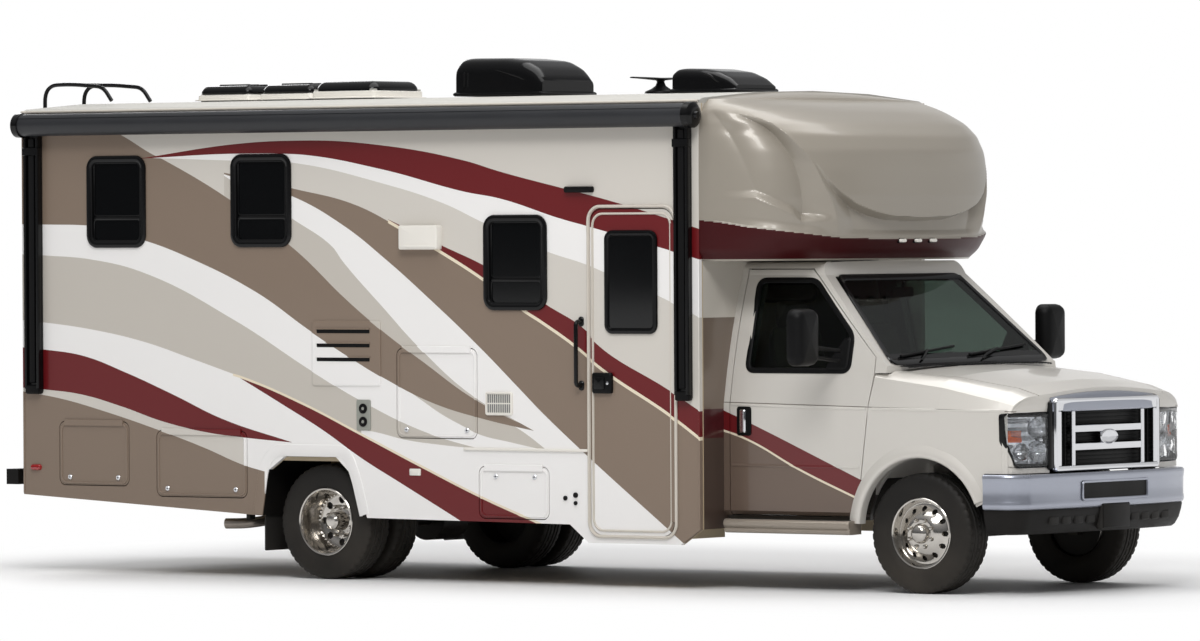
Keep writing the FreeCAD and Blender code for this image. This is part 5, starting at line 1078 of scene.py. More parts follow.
def make_vents():
    """Low smoked domes over the two roof vents and the skylight, on pale curbs."""
    for body, x in VENTS:
        shell = Shell()
        rows = swept(rounded(0.420, 0.420, 0.045) + [x, 0.0],
                     ((0.0, 0.0453), (0.003, 0.0513), (0.002, 0.0653), (-0.008, 0.0813),
                      (-0.022, 0.0933), (-0.042, 0.0993)), on_roof)
        shell.grid(rows, around=True)
        shell.lid(rows[-1])
        shell.lid(rows[0])
        for y in (-0.09, 0.0, 0.09):
            shell.block((x - 0.13, y - 0.006, 3.2043), (x + 0.13, y + 0.006, 3.2183), 0.003)
        made = shell.build(body + "_dome", body, ["black_gloss"], "black_plastic")
        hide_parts(body)
    shell = Shell()
    rows = swept(rounded(0.500, 0.500, 0.060) + [SKYLIGHT_X, 0.0],
                 ((0.004, 0.046), (0.006, 0.060), (0.0, 0.076), (-0.016, 0.096),
                  (-0.036, 0.108), (-0.057, 0.113)), on_roof)
    shell.grid(rows, around=True)
    shell.lid(rows[-1])
    low_curb = ((0.03, 0.002), (0.03, 0.008), (0.008, 0.010), (0.004, 0.036), (-0.004, 0.040))
    high_curb = ((0.03, 0.002), (0.03, 0.008), (0.0, 0.012), (0.0, 0.046), (-0.01, 0.050))
    for x, width, corner, profile in ((VENTS[0][1], 0.43, 0.02, low_curb),
                                      (VENTS[1][1], 0.43, 0.02, low_curb),
                                      (SKYLIGHT_X, 0.53, 0.03, high_curb)):
        shell.bead(rounded(width, width, corner, 3) + [x, 0.0], profile, on_roof, 1)
    shell.build("skylight_dome", "motorhome", ["black_gloss", "white_moulding"],
                "black_plastic")


def make_antenna():
    """A batwing television antenna: flared base, stem and two swept wings."""
    shell = Shell()
    x = 0.550
    shell.lathe(((0.002, 0.0), (0.002, 0.105), (0.014, 0.100), (0.030, 0.062), (0.050, 0.034),
                 (0.075, 0.024), (0.086, 0.030), (0.092, 0.0)), (x, 0.0, ROOF), "Z", 1, 40)
    share = np.linspace(0, 1, 15)[:, None]
    turn = np.linspace(0, TAU, 16, endpoint=False)
    chord = 0.052 * (1 - 0.55 * share ** 2)
    thick = 0.010 * (1 - 0.5 * share)
    for sign in (-1, 1):
        shell.solid(joined(x - 0.05 * share ** 2 + chord * np.cos(turn), sign * 0.235 * share,
                           ROOF + 0.092 + 0.010 * share + thick * np.sin(turn)))
    made = shell.build("antenna_wings", "antenna", ["black_plastic"], "black_plastic")
    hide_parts("antenna")


LADDER_SIDES = (-0.880, -0.480)


def make_ladder():
    """The rear ladder: bent black tubes with rungs, standing off the wall, looped over the
    roof's edge."""
    shell = Shell()
    rear = HOUSE_REAR - 0.105
    right, left = LADDER_SIDES
    for y in LADDER_SIDES:
        shell.rod(curved(((HOUSE_REAR, y, 0.72), (rear, y, 0.76), (rear, y, 3.215),
                          (HOUSE_REAR + 0.12, y, 3.222), (-3.372, y, 3.200),
                          (-3.300, y, 3.108)), 0.12, 9), 0.0135, up=(0, 1, 0), sides=14)
    for z in np.linspace(0.92, 2.82, 8):
        shell.rod(((rear, right, z), (rear, left, z)), 0.0125)
        shell.block((rear - 0.016, right + 0.020, z + 0.006),
                    (rear + 0.016, left - 0.020, z + 0.0145), 0.003, 1)
    for y in LADDER_SIDES:
        for z in (1.35, 2.35):
            shell.rod(((HOUSE_REAR + 0.002, y, z), (rear, y, z)), 0.010, sides=10)
            shell.block((HOUSE_REAR - 0.008, y - 0.025, z - 0.025),
                        (HOUSE_REAR, y + 0.025, z + 0.025), 0.003)
    x = HOUSE_REAR + 0.06
    shell.rod(((x, right, 3.221), (x, left, 3.221)), 0.0125)
    made = shell.build("ladder_tubes", "motorhome", ["black_gloss", "black_rubber"],
                       "ladder_tube")
    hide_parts("ladder")


def make_rear():
    """The rear wall's lamps with three lenses each and its plate pad; below, the mud flaps
    and the end of the exhaust."""
    shell = Shell()
    low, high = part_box("tail_lamps")
    tall, depth = high.z - low.z, HOUSE_REAR - low.x
    for sign in (-1, 1):
        outer, inner = sign * (high.y - 0.006), sign * (high.y - 0.109)
        for start, end, number in ((0.0, 0.36, 0), (0.38, 0.62, 1), (0.64, 1.0, 0)):
            shell.plate(between(inner, outer, low.z + tall * start + 0.006,
                                low.z + tall * end - 0.006, 0.016, 4),
                        ((0.0, depth - 0.004), (0.0, depth + 0.006), (-0.008, depth + 0.014),
                         (-0.02, depth + 0.016)), on_rear, number)
    shell.plate(between(-0.16, 0.16, 1.02, 1.19, 0.01, 3),
                ((0.0, 0.0), (0.0, 0.006), (-0.006, 0.010)), on_rear, 2)
    shell.build("rear_lenses", "motorhome", ["lens_red", "lens_clear", "black_plastic"],
                "red_lens")
    flaps = Shell()
    for sign in (-1, 1):
        flaps.block((REAR_AXLE - 0.50, sign * 0.70, 0.175),
                    (REAR_AXLE - 0.488, sign * 1.19, 0.62))
    pipe = curved(((-1.800, -0.800, 0.460), (-1.880, -0.980, 0.365), (-1.970, -1.130, 0.345),
                   (-2.110, -1.165, 0.343)), 0.10, 6)
    flaps.grid(np.vstack([tube(pipe, 0.034, sides=20), tube(pipe[-3:], 0.030, sides=20)[::-1]]),
               around=True, number=1)
    flaps.block((-1.955, -1.150, 0.370), (-1.925, -1.090, 0.470))
    flaps.build("mud_flaps", "motorhome", ["black_rubber", "pipe_steel"], "black_plastic")


# ----------------------------------------------------------------------------------------------
# Wheels
# ----------------------------------------------------------------------------------------------
FRONT_Y = 0.858                  # how far out the middle of a front tyre is
REAR_Y = (1.080, 0.780)          # and of the two rear ones
TYRE_WIDTH = 0.222


def tyre(tread):
    """Half a section of one tyre and its mirror image about Y, as (along, radius) rows from
    bead to bead, with four grooves round the tread."""
    side = np.array(((-0.80, 0.206), (-0.92, 0.222), (-1.0, 0.262), (-1.02, 0.300),
                     (-0.99, 0.332), (-0.93, 0.352), (-0.86, 0.3625)))
    along = np.linspace(-0.80, 0.80, 33)
    grooved = np.zeros(33)
    for groove in (-0.48, -0.16, 0.16, 0.48):
        grooved[np.abs(along - groove) < 0.045] = 1
    crown = np.column_stack([along, 0.370 - 0.003 * (along / 0.8) ** 2 - tread * grooved])
    return np.vstack([side, crown, side[::-1] * (-1, 1)]) * (TYRE_WIDTH / 2, 1)


def make_tyre(name, body, x, centres, node, tread, steps):
    """The tyres of one body, with blocks cut across the tread and ribs on the walls."""
    shell = Shell()
    profile = tyre(tread)
    for y in centres:
        points = turned(profile, (0, 0, 0), "Y", steps=steps)
        radius = np.hypot(points[..., 0], points[..., 2])
        off = np.abs(points[..., 1])
        cut = (np.arange(steps) % 4 < 1) & ((off > 0.074) & (radius > 0.348)
                                            | (off < 0.016) & (radius > 0.36))
        points[..., ::2] *= ((radius - 0.006 * cut) / radius)[..., None]
        ribs = 0.0012 * np.sin(radius * 520) * (radius < 0.33) * (radius > 0.25)
        points[..., 1] += np.sign(points[..., 1]) * ribs
        shell.grid(points + [x, y, TYRE_RADIUS], around=True)
    made = shell.build(name, body, ["tyre_rubber"], "tyre_rubber", smooth=30)
    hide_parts(node)


def hand_holes(disc, count, radius, size, depth, sign):
    """Presses round hand holes into a turned disc and returns how far each point is pressed,
    from 0 to 1."""
    angle = np.arctan2(disc[..., 2], disc[..., 0])
    step = TAU / count
    off = (np.mod(angle + step / 2, step) - step / 2) * radius
    distance = np.hypot(off, np.hypot(disc[..., 0], disc[..., 2]) - radius)
    pressed = 1 - ease(distance, size * 0.82, size)
    disc[..., 1] -= sign * depth * pressed
    return pressed


# Sections as (along the axle outward, radius)
FRONT_RIM = {
    "rim": ((-0.095, 0.196), (-0.085, 0.204), (0.085, 0.204), (0.094, 0.212), (0.102, 0.2185),
            (0.106, 0.214), (0.103, 0.205), (0.090, 0.200), (0.070, 0.196), (0.050, 0.190),
            (0.046, 0.182)),
    "disc": (0.188, 0.062, 34, 240, 0.050, 0.052, -0.182, -0.085),
    "holes": (12, 0.152, 0.0155, 0.022),
    "hub": ((0.096, 0.066), (0.104, 0.062), (0.126, 0.056), (0.142, 0.046), (0.150, 0.030),
            (0.152, 0.0)),
    "nut": ((0.090, 0.0135), (0.114, 0.0125), (0.121, 0.008), (0.122, 0.0)),
    "nuts_at": 0.086,
    "behind": ((((-0.06, 0.198), (-0.06, 0.05), (-0.05, 0.05)), 0.0, 48),),
}
REAR_RIMS = {
    "rim": ((-0.100, 0.212), (-0.096, 0.204), (0.080, 0.204), (0.094, 0.211), (0.104, 0.2185),
            (0.108, 0.214), (0.105, 0.205), (0.090, 0.199), (0.040, 0.192), (0.000, 0.184),
            (-0.040, 0.178), (-0.058, 0.168)),
    "disc": (0.168, 0.080, 30, 200, -0.058, -0.010, -0.165, -0.110),
    "holes": (8, 0.136, 0.022, 0.020),
    "hub": ((-0.068, 0.082), (-0.062, 0.062), (0.010, 0.058), (0.040, 0.050), (0.052, 0.034),
            (0.054, 0.0)),
    "nut": ((-0.070, 0.0135), (-0.034, 0.0125), (-0.026, 0.008), (-0.025, 0.0)),
    "nuts_at": 0.098,
    "behind": ((((-0.10, 0.212), (-0.096, 0.204), (0.096, 0.204), (0.10, 0.212)), 0.300, 64),
               (((0.07, 0.203), (0.06, 0.08), (0.09, 0.078)), 0.300, 64),
               (((-0.09, 0.0), (-0.09, 0.055), (0.22, 0.055)), 0.300, 32)),
}


def bright_wheel(centre, sign, spec):
    """A bright wheel turned from the sections of a table: rolled rim, disc with hand holes,
    hub and eight nuts, and the dark parts behind them further in."""
    shell = Shell()
    centre = np.array(centre)
    shell.lathe(spec["rim"], centre, "Y", sign, 120)
    outer, inner, rings, steps, start, rise, near, far = spec["disc"]
    radii = np.linspace(outer, inner, rings)
    face = np.column_stack([start + rise * ease(-radii, near, far), radii])
    disc = turned(face, (0, 0, 0), "Y", sign, steps)
    pressed = hand_holes(disc, *spec["holes"], sign)
    dark = (pressed[1:] + pressed[:-1]) / 2 > 0.75
    shell.grid(disc + centre, around=True, number=dark.astype(int))
    shell.lathe(spec["hub"], centre, "Y", sign, 64)
    for angle in TAU * (np.arange(8) + 0.5) / 8:
        place = centre + spec["nuts_at"] * np.array((np.cos(angle), 0, np.sin(angle)))
        shell.lathe(spec["nut"], place, "Y", sign, 12)
    for profile, inward, steps in spec["behind"]:
        shell.lathe(profile, centre - (0, sign * inward, 0), "Y", sign, steps, 1)
    return shell


def make_wheels(tread, steps):
    """All tyres and wheels, each on its own body."""
    finishes = ["wheel_chrome", "black_rubber"]
    for side, sign in SIDES:
        make_tyre("front_tyre_%s_tread" % side, "front_wheel_" + side, FRONT_AXLE,
                  (sign * FRONT_Y,), "front_tyre_" + side, tread, steps)
        make_tyre("rear_tyres_%s_tread" % side, "rear_wheels_" + side, REAR_AXLE,
                  (sign * REAR_Y[0], sign * REAR_Y[1]), "rear_tyres_" + side, tread, steps)
        made = bright_wheel((FRONT_AXLE, sign * FRONT_Y, TYRE_RADIUS), sign, FRONT_RIM).build(
            "front_wheel_cover_" + side, "front_wheel_" + side, finishes, "wheel_chrome", 32)
        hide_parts("front_rim_" + side)
        made = bright_wheel((REAR_AXLE, sign * REAR_Y[0], TYRE_RADIUS), sign, REAR_RIMS).build(
            "rear_wheel_dishes_" + side, "rear_wheels_" + side, finishes, "wheel_chrome", 32)
        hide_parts("rear_rims_" + side)


# ----------------------------------------------------------------------------------------------
# Cab
# ----------------------------------------------------------------------------------------------
GRILLE_FACE = FRONT_AXLE + 0.738

# Blocks of the grille: from its face back to front, across, up, bevel, number of the finish
GRILLE_BLOCKS = (
    ((-0.012, -0.568, 1.112), (0.006, 0.568, 1.190), 0.008, 0),
    ((-0.010, -0.568, 0.749), (0.006, 0.568, 0.780), 0.006, 0),
    ((-0.010, -0.395, 0.866), (0.008, 0.395, 0.920), 0.010, 0),
    ((-0.010, -0.395, 0.977), (0.008, 0.395, 1.031), 0.010, 0),
    ((-0.050, -0.560, 0.760), (-0.034, 0.560, 1.150), 0.004, 1),
)
GRILLE_POSTS = ((-0.014, 0.010, 0.372, 0.408, 0.007, 0), (-0.014, 0.006, 0.520, 0.575, 0.007, 0),
                (-0.020, -0.006, 0.462, 0.470, 0.003, 1))


def make_grille():
    """The grille: bright surround, three wide openings with bars, a narrow one each side, a
    header above and a plain oval boss; dark mesh lies behind."""
    shell = Shell()
    face = GRILLE_FACE
    shell.bead(between(-0.588, 0.588, 0.745, 1.196, 0.030, 5),
               ((-0.002, face - 0.030), (0.0, face - 0.004), (-0.006, face + 0.006),
                (-0.020, face + 0.009), (-0.034, face + 0.004), (-0.036, face - 0.03)), on_front)
    for low, high, bevel, number in GRILLE_BLOCKS:
        shell.block(np.array(low) + (face, 0, 0), np.array(high) + (face, 0, 0), bevel, number)
    for sign in (-1, 1):
        for back, front, a, b, bevel, number in GRILLE_POSTS:
            shell.block((face + back, sign * a, 0.775), (face + front, sign * b, 1.118), bevel,
                        number)
    turn = np.linspace(0, TAU, 48, endpoint=False)
    oval = np.column_stack([0.098 * np.cos(turn), 0.951 + 0.046 * np.sin(turn)])
    shell.plate(oval, ((0.0, face), (0.0, face + 0.012), (-0.006, face + 0.018),
                       (-0.012, face + 0.014), (-0.016, face + 0.013)), on_front)
    for z in np.linspace(0.786, 1.115, 15):
        shell.block((face - 0.036, -0.545, z - 0.003), (face - 0.026, 0.545, z + 0.003), 0.001, 1)
    made = shell.build("grille_bars", "motorhome", ["chrome", "black_plastic"], "chrome_trim")
    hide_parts("grille")


def make_lamps():
    """Each headlamp: bright facets, a round main bowl and a square one, and an amber block,
    behind the clear cover of the frame."""
    shell = Shell()
    rows = np.linspace(0.800, 1.085, 25)[:, None]
    for sign in (-1, 1):
        across = np.linspace(0.605, 0.955, 29)[None, :]
        share = (across - 0.605) / 0.35
        bowl = 0.0
        for y, z, radius in ((0.700, 0.875, 0.068), (0.700, 1.012, 0.062),
                             (0.815, 0.870, 0.050)):
            distance = np.hypot(across - y, rows - z) / radius
            bowl = np.maximum(bowl, np.clip(1 - distance ** 2, 0, 1))
        facet = 0.010 * np.abs(np.sin(across * 52)) + 0.006 * np.abs(np.sin(rows * 60))
        x = (FRONT_AXLE + 0.700 - 0.16 * share ** 2.2 - 0.03 * (rows - 0.94) - facet
             - 0.055 * bowl)
        amber = (np.abs(across - 0.862) < 0.055) & (np.abs(rows - 0.965) < 0.038)
        shell.grid(joined(x, sign * across, rows),
                   number=(amber[1:, 1:] & amber[:-1, :-1]).astype(int))
    shell.build("headlamp_bowls", "motorhome", ["chrome", "lens_amber"], "lamp_lens", smooth=60)


# Plan of the cab's front by distance from the middle: where the lamps' faces lie, the edge
# above them, and the hood's edge; then the outline of a lamp's lens
LAMP_FACE = ((0.60, 0.65, 0.70, 0.75, 0.80, 0.85, 0.90, 0.93, 0.95, 0.965),
             (3.906, 3.899, 3.892, 3.885, 3.877, 3.869, 3.860, 3.852, 3.830, 3.800))
EDGE_X = ((0.60, 0.69, 0.75, 0.80, 0.85, 0.90, 0.93, 0.95),
          (3.902, 3.892, 3.886, 3.8785, 3.8705, 3.8615, 3.8555, 3.835))
EDGE_Z = ((0.60, 0.69, 0.75, 0.80, 0.85, 0.90, 0.93, 0.95),
          (1.216, 1.210, 1.203, 1.188, 1.180, 1.153, 1.126, 1.116))
HOOD_EDGE = ((0.0, 0.1, 0.2, 0.3, 0.4, 0.5, 0.6), (1.255, 1.254, 1.252, 1.247, 1.241, 1.234, 1.224))
LENS = ((0.618, 0.785), (0.905, 0.785), (0.955, 0.930), (0.962, 1.104), (0.618, 1.104))


def on_lamp(sign):
    """Puts (distance from the middle, up Z, height) on the curved face of a headlamp."""
    return lambda a, b, h: joined(np.interp(a, *LAMP_FACE) + h, sign * a, b)


# Section of the header over the grille: ahead of the grille's face, Z, share of the hood's drop
HEADER = ((-0.016, 1.112, 0.0), (0.004, 1.114, 0.0), (0.010, 1.122, 0.05), (0.009, 1.165, 0.35),
          (-0.002, 1.205, 0.80), (-0.016, 1.226, 1.0), (-0.034, 1.232, 1.0), (-0.060, 1.226, 1.0))


def make_header():
    """The bright header over the grille, which sinks to its sides like the hood's edge."""
    shell = Shell()
    y = np.linspace(-0.600, 0.600, 49)
    ahead, up, share = np.array(HEADER).T[:, :, None]
    drop = (np.interp(np.abs(y), *HOOD_EDGE) - HOOD_EDGE[1][0]) * share
    end = 0.020 * (np.abs(y) / 0.6) ** 10
    shell.grid(joined(GRILLE_FACE + ahead - end, y, up + drop))
    shell.build("grille_header", "motorhome", ["silver_paint"], "chrome_trim")


def make_front_panels():
    """The painted panels over and beside the lamps, the black strips between lamp and
    grille, and the lamps' clear covers."""
    panels, covers = Shell(), Shell()
    for sign in (-1, 1):
        y = np.linspace(0.600, 0.950, 22)
        up = np.linspace(0, 1, 9)[:, None]
        low = np.interp(y, *LAMP_FACE) - 0.002
        x = low + (np.interp(y, *EDGE_X) - low) * up + 0.006 * np.sin(np.pi * up)
        panels.grid(joined(x, sign * y, 1.112 + (np.interp(y, *EDGE_Z) - 1.112) * up))
        rise = np.linspace(0.742, 1.000, 18)[:, None]
        inner = np.interp(rise, (0.742, 0.785, 0.930, 1.0), (0.60, 0.905, 0.953, 0.958))
        inner = np.where(rise < 0.785, 0.60, inner)
        across = inner + (0.964 - inner) * np.linspace(0, 1, 12)
        panels.grid(joined(np.interp(across, *LAMP_FACE) - 0.003, sign * across, rise))
        wrap = np.linspace(0, 1, 7)
        rise = np.linspace(0.742, 1.130, 5)[:, None]
        panels.grid(joined(3.832 - 0.125 * wrap, sign * (0.952 + 0.014 * wrap ** 0.6), rise))
        panels.block((3.840, sign * 0.588, 0.760), (3.926, sign * 0.622, 1.175), 0.008, 1)
        loop = corners(LENS, 0.024)
        cover = swept(loop, ((0.006, -0.020), (0.004, 0.004), (-0.002, 0.007), (-0.012, 0.005),
                             (-0.030, 0.004), (-0.060, 0.004), (-0.100, 0.004),
                             (-0.135, 0.004)), on_lamp(sign))
        covers.grid(cover, around=True)
        covers.lid(cover[-1])
        panels.bead(loop, ((0.010, -0.02), (0.010, 0.004), (0.004, 0.008), (-0.002, 0.002),
                           (-0.002, -0.02)), on_lamp(sign), 1)
    panels.build("front_corners", "motorhome", ["cab_paint", "black_gloss"], "cab_paint")
    made = covers.build("headlamp_covers", "motorhome", ["lens_clear"], "lamp_lens")
    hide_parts("headlamps")


# Half the bumper's outline in plan: behind the nose, across
BUMPER_PLAN = ((-0.322, 1.000), (-0.165, 0.990), (-0.066, 0.905), (-0.020, 0.640), (0.0, 0.300))

# Sections as (behind the plan's outline, Z)
BUMPER_SECTION = ((0.120, 0.734), (0.030, 0.738), (0.010, 0.736), (0.001, 0.726),
                  (0.000, 0.712), (0.004, 0.680), (0.005, 0.677), (0.006, 0.575),
                  (0.005, 0.572), (0.001, 0.548), (0.006, 0.530), (0.018, 0.521),
                  (0.100, 0.520))
VALANCE_SECTION = ((0.180, 0.524), (0.018, 0.524), (0.014, 0.512), (0.020, 0.480),
                   (0.034, 0.430), (0.060, 0.385), (0.080, 0.370), (0.120, 0.368),
                   (0.180, 0.380))


def make_bumper():
    """The wrapped front bumper with its recessed slot, and the black valance under it with a
    row of openings and a blank plate holder: sections carried round the plan's outline."""
    half = np.array(BUMPER_PLAN) + (NOSE, 0)
    path = even(np.vstack([half * (1, -1), half[::-1]]), 0.30, 221)
    profile = np.array(BUMPER_SECTION)
    middle = np.abs(path[1:, 1] + path[:-1, 1]) / 2 < 0.366
    level = (profile[1:, 1:] + profile[:-1, 1:]) / 2
    # The slot stands for an opening in the bumper: its faces take the black finish as painted shade
    # of the opening.
    slot = middle & (level > 0.575) & (level < 0.677)
    bumper = Shell()
    bumper.grid(carried(path, profile, joined), number=slot.astype(int))
    bumper.bead(between(-0.368, 0.368, 0.572, 0.680, 0.014, 4),
                ((0.008, NOSE - 0.004), (0.006, NOSE + 0.001), (0.0, NOSE + 0.002),
                 (-0.006, NOSE - 0.001), (-0.008, NOSE - 0.010)), on_front)
    made = bumper.build("bumper_skin", "motorhome", ["silver_paint", "black_plastic"],
                        "chrome_trim")
    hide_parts("front_bumper")
    lower = Shell()
    lower.grid(carried(path, VALANCE_SECTION, joined))
    for y in (-0.250, -0.375, -0.500, -0.625, 0.250, 0.375, 0.500, 0.625):
        x = np.interp(abs(y), (0.3, 0.64), (NOSE, NOSE - 0.020)) - 0.030
        lower.block((x - 0.030, y - 0.045, 0.425), (x + 0.010, y + 0.045, 0.480), 0.008, 1)
    lower.block((NOSE - 0.050, -0.160, 0.380), (NOSE - 0.002, 0.160, 0.552), 0.010, 1)
    lower.block((NOSE - 0.010, -0.150, 0.392), (NOSE + 0.005, 0.150, 0.540), 0.005)
    made = lower.build("valance_skin", "motorhome", ["black_plastic", "black_rubber"],
                       "black_plastic")
    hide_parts("front_valance")


def make_mirrors():
    """Door mirrors with rounded shells, glass and twin arms."""
    x = FRONT_AXLE - 0.590
    for side, sign in SIDES:
        shell = Shell()
        rows = swept(rounded(0.236, 0.350, 0.062, 7) + [sign * 1.378, 1.572],
                     ((-0.020, x - 0.030), (-0.004, x - 0.032), (0.0, x - 0.022),
                      (0.0, x + 0.010), (-0.006, x + 0.036), (-0.020, x + 0.056),
                      (-0.044, x + 0.068)), on_front)
        shell.grid(rows, around=True)
        shell.lid(rows[-1])
        shell.lid(rows[0], 1)
        for z in (1.452, 1.512):
            shell.rod(curved(((x - 0.005, sign * 1.300, z), (x - 0.012, sign * 1.16, z - 0.010),
                              (x + 0.006, sign * 0.985, z - 0.028)), 0.08, 6), 0.0135)
        made = shell.build("mirror_%s_shell" % side, "cab_door_" + side,
                           ["black_plastic", "mirror_glass"], "black_plastic")
        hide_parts("mirror_" + side)


SEAT_PADS = {  # middle X and Z, length, width, thickness, bulge, lean in degrees
    "cushion": (2.160, 0.9816, 0.50, 0.50, 0.15, 0.8, 0),
    "back": (1.925, 1.335, 0.60, 0.48, 0.13, 0.8, -98),
    "headrest": (1.865, 1.700, 0.17, 0.27, 0.09, 0.6, -96),
}
SEAT_ACROSS = 0.42


def pad(centre, length, width, thick, bulge, lean):
    """A crowned pad: a rounded box whose faces bow out, with raised bolsters beside two sewn
    seams and one across, leaning back by an angle. Returns its lower and its upper face."""
    u = np.linspace(-1, 1, 29)
    across, along = np.meshgrid(u, u, indexing="ij")
    off = np.abs(across)
    crown = (1 - across ** 6) ** 0.5 * (1 - along ** 6) ** 0.5
    seam = (np.exp(-((off - 0.62) / 0.035) ** 2)
            + 0.7 * np.exp(-((along - 0.15) / 0.04) ** 2) * (off < 0.62))
    bolster = 0.35 * np.clip((off - 0.55) / 0.3, 0, 1)
    lower = -(0.5 * crown + 0.16 * bulge * crown)
    upper = 0.5 * crown + 0.16 * bulge * (crown + bolster) - 0.05 * seam * crown
    squeeze = 1 - 0.05 * off ** 2 * along ** 2
    c, s = np.cos(lean), np.sin(lean)
    for height in (lower, upper):
        x, y, z = along * length / 2 * squeeze, across * width / 2 * squeeze, height * thick
        yield joined(x * c + z * s, y, z * c - x * s) + centre


def make_seats():
    """Two cab seats: crowned cushions and backs with bolsters, sewn panels and headrests."""
    for name, (x, z, length, width, thick, bulge, lean) in SEAT_PADS.items():
        shell = Shell()
        for sign in (-1, 1):
            for face in pad((x, sign * SEAT_ACROSS, z), length, width, thick, bulge,
                            np.radians(lean)):
                shell.grid(face)
        made = shell.build("seat_" + name + "s", "motorhome", ["seat_cloth"], "seat_fabric",
                           smooth=70)
    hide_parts("cab_seats")
    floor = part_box("cab_seats")[0].z
    stand = Shell()
    for y in (-SEAT_ACROSS, SEAT_ACROSS):
        stand.block((1.98, y - 0.19, floor), (2.34, y + 0.19, floor + 0.22), 0.02)
        for across in (y - 0.07, y + 0.07):
            stand.rod(((1.885, across, 1.56), (1.870, across, 1.68)), 0.007, up=(0, 1, 0),
                      sides=8)
    stand.build("seat_stands", "motorhome", ["black_plastic"], "black_plastic")


# Where the cab's side lies: half width by height on the doors, and by X on the fenders
DOOR_SKIN = ((1.15, 1.20, 1.25, 1.30, 1.352, 1.50, 1.70, 1.85, 1.99),
             (0.985, 0.976, 0.966, 0.957, 0.947, 0.913, 0.858, 0.810, 0.762))
FENDER_SKIN = ((3.29, 3.43, 3.57, 3.65, 3.80, 3.83), (0.985, 0.981, 0.972, 0.966, 0.957, 0.950))


def on_door(sign):
    """Puts (along X, up Z, height) on a cab door, which leans in above the belt."""
    return lambda a, b, h: joined(a, sign * (np.interp(b, *DOOR_SKIN) + h), b)


def on_fender(sign):
    """Puts (along X, up Z, height) on a fender, which draws in toward the nose."""
    return lambda a, b, h: joined(a, sign * (np.interp(a, *FENDER_SKIN) + h), b)


CREASE = ((-0.012, -0.001), (-0.005, 0.004), (0.003, 0.005), (0.010, 0.001), (0.012, -0.002))


def make_door_trims():
    """Each cab door: window surround, corner sail, handle in its cup, two pressed creases."""
    for side, sign in SIDES:
        place = on_door(sign)
        shell = Shell()
        shell.bead(corners(((1.896, 1.362), (2.655, 1.362), (2.655, 1.576), (2.310, 1.915),
                            (1.884, 1.915)), 0.050, 6),
                   ((0.020, -0.002), (0.019, 0.004), (0.008, 0.007), (-0.008, 0.006),
                    (-0.014, 0.002), (-0.015, -0.010)), place)
        shell.plate(corners(((2.480, 1.368), (2.650, 1.368), (2.650, 1.570), (2.600, 1.560)),
                            0.030, 4),
                    ((0.0, -0.004), (0.0, 0.008), (-0.006, 0.012), (-0.020, 0.013)), place)
        shell.plate(between(1.842, 1.951, 0.955, 1.135, 0.018, 4),
                    ((0.0, -0.004), (0.0, 0.004), (-0.004, 0.008), (-0.012, 0.008)), place)
        shell.plate(between(1.872, 1.918, 0.972, 1.118, 0.014, 4),
                    ((0.0, 0.004), (0.0, 0.018), (-0.008, 0.026)), place, 1)
        for ends in (((1.800, 1.146), (2.808, 1.128)), ((1.800, 0.770), (2.760, 0.768))):
            shell.grid(carried(ends, CREASE, place), number=2)
        shell.build("cab_door_%s_trim" % side, "cab_door_" + side,
                    ["black_plastic", "chrome", "cab_paint"], "black_plastic")


def make_fender_trims():
    """The soft lip round each front wheel arch and the pressed crease along each fender."""
    shell = Shell()
    angle = np.radians(np.linspace(177, 21, 61))
    out, height = np.array(((0.078, -0.001), (0.066, 0.004), (0.048, 0.012), (0.028, 0.018),
                            (0.010, 0.019), (-0.001, 0.013), (-0.005, 0.002),
                            (-0.007, -0.050))).T[:, :, None]
    radius = 0.436 + out
    for sign in (-1, 1):
        shell.grid(on_fender(sign)(FRONT_AXLE + radius * np.cos(angle),
                                   0.400 + radius * np.sin(angle), height))
        shell.grid(carried(((2.856, 1.128), (3.30, 1.124), (3.70, 1.121), (3.815, 1.120)),
                           CREASE, on_fender(sign)))
    shell.build("fender_lips", "motorhome", ["cab_pearl"], "cab_paint", smooth=60)


def on_windshield(a, b, h):
    """Puts (across Y, up Z, height) on the windshield's slope."""
    return joined(2.918 - WINDSHIELD_LEAN * (b - 1.42) + 0.70 * h, a, b + 0.71 * h)


def make_windshield_trims():
    """The windshield's black seal and lower band, the cowl grille, wipers, inner mirror."""
    shell = Shell()
    shell.bead(corners(((-0.868, 1.412), (0.868, 1.412), (0.664, 1.936), (-0.664, 1.936)), 0.05,
                       6),
               ((0.016, 0.000), (0.012, 0.006), (-0.016, 0.006), (-0.022, 0.001)),
               on_windshield)
    shell.plate(corners(((-0.845, 1.418), (0.845, 1.418), (0.830, 1.462), (-0.830, 1.462)), 0.01,
                        2), ((0.0, -0.001), (0.0, 0.002)), on_windshield)
    y = np.linspace(-0.80, 0.80, 161)
    x, z = np.array(((2.928, 1.404), (2.940, 1.402), (2.972, 1.398), (3.004, 1.396),
                     (3.009, 1.388))).T[:, :, None]
    ribs = 0.0016 * np.sign(np.sin(y * 190)) - 0.012 * (np.abs(y) / 0.8) ** 4
    shell.grid(joined(x, y, z + ribs), number=1)
    for start, low, high in ((-0.56, -0.74, -0.08), (0.12, 0.02, 0.72)):
        for across, up, height, radius in (
                ((start, start + 0.04, (low + high) / 2), (1.408, 1.425, 1.470),
                 (0.016, 0.026, 0.020), 0.0075),
                ((low, high), (1.440, 1.492), (0.012, 0.012), 0.0085)):
            path = on_windshield(np.array(across), np.array(up), np.array(height))
            shell.rod(path, radius, 1, up=(1, 0, 1), sides=8)
    shell.block((2.400, -0.115, 1.800), (2.425, 0.115, 1.868), 0.010, 1)
    shell.rod(((2.415, 0, 1.86), (2.425, 0, 1.905)), 0.010, 1, up=(0, 1, 0))
    shell.build("windshield_trims", "motorhome", ["black_gloss", "black_plastic"],
                "black_plastic")


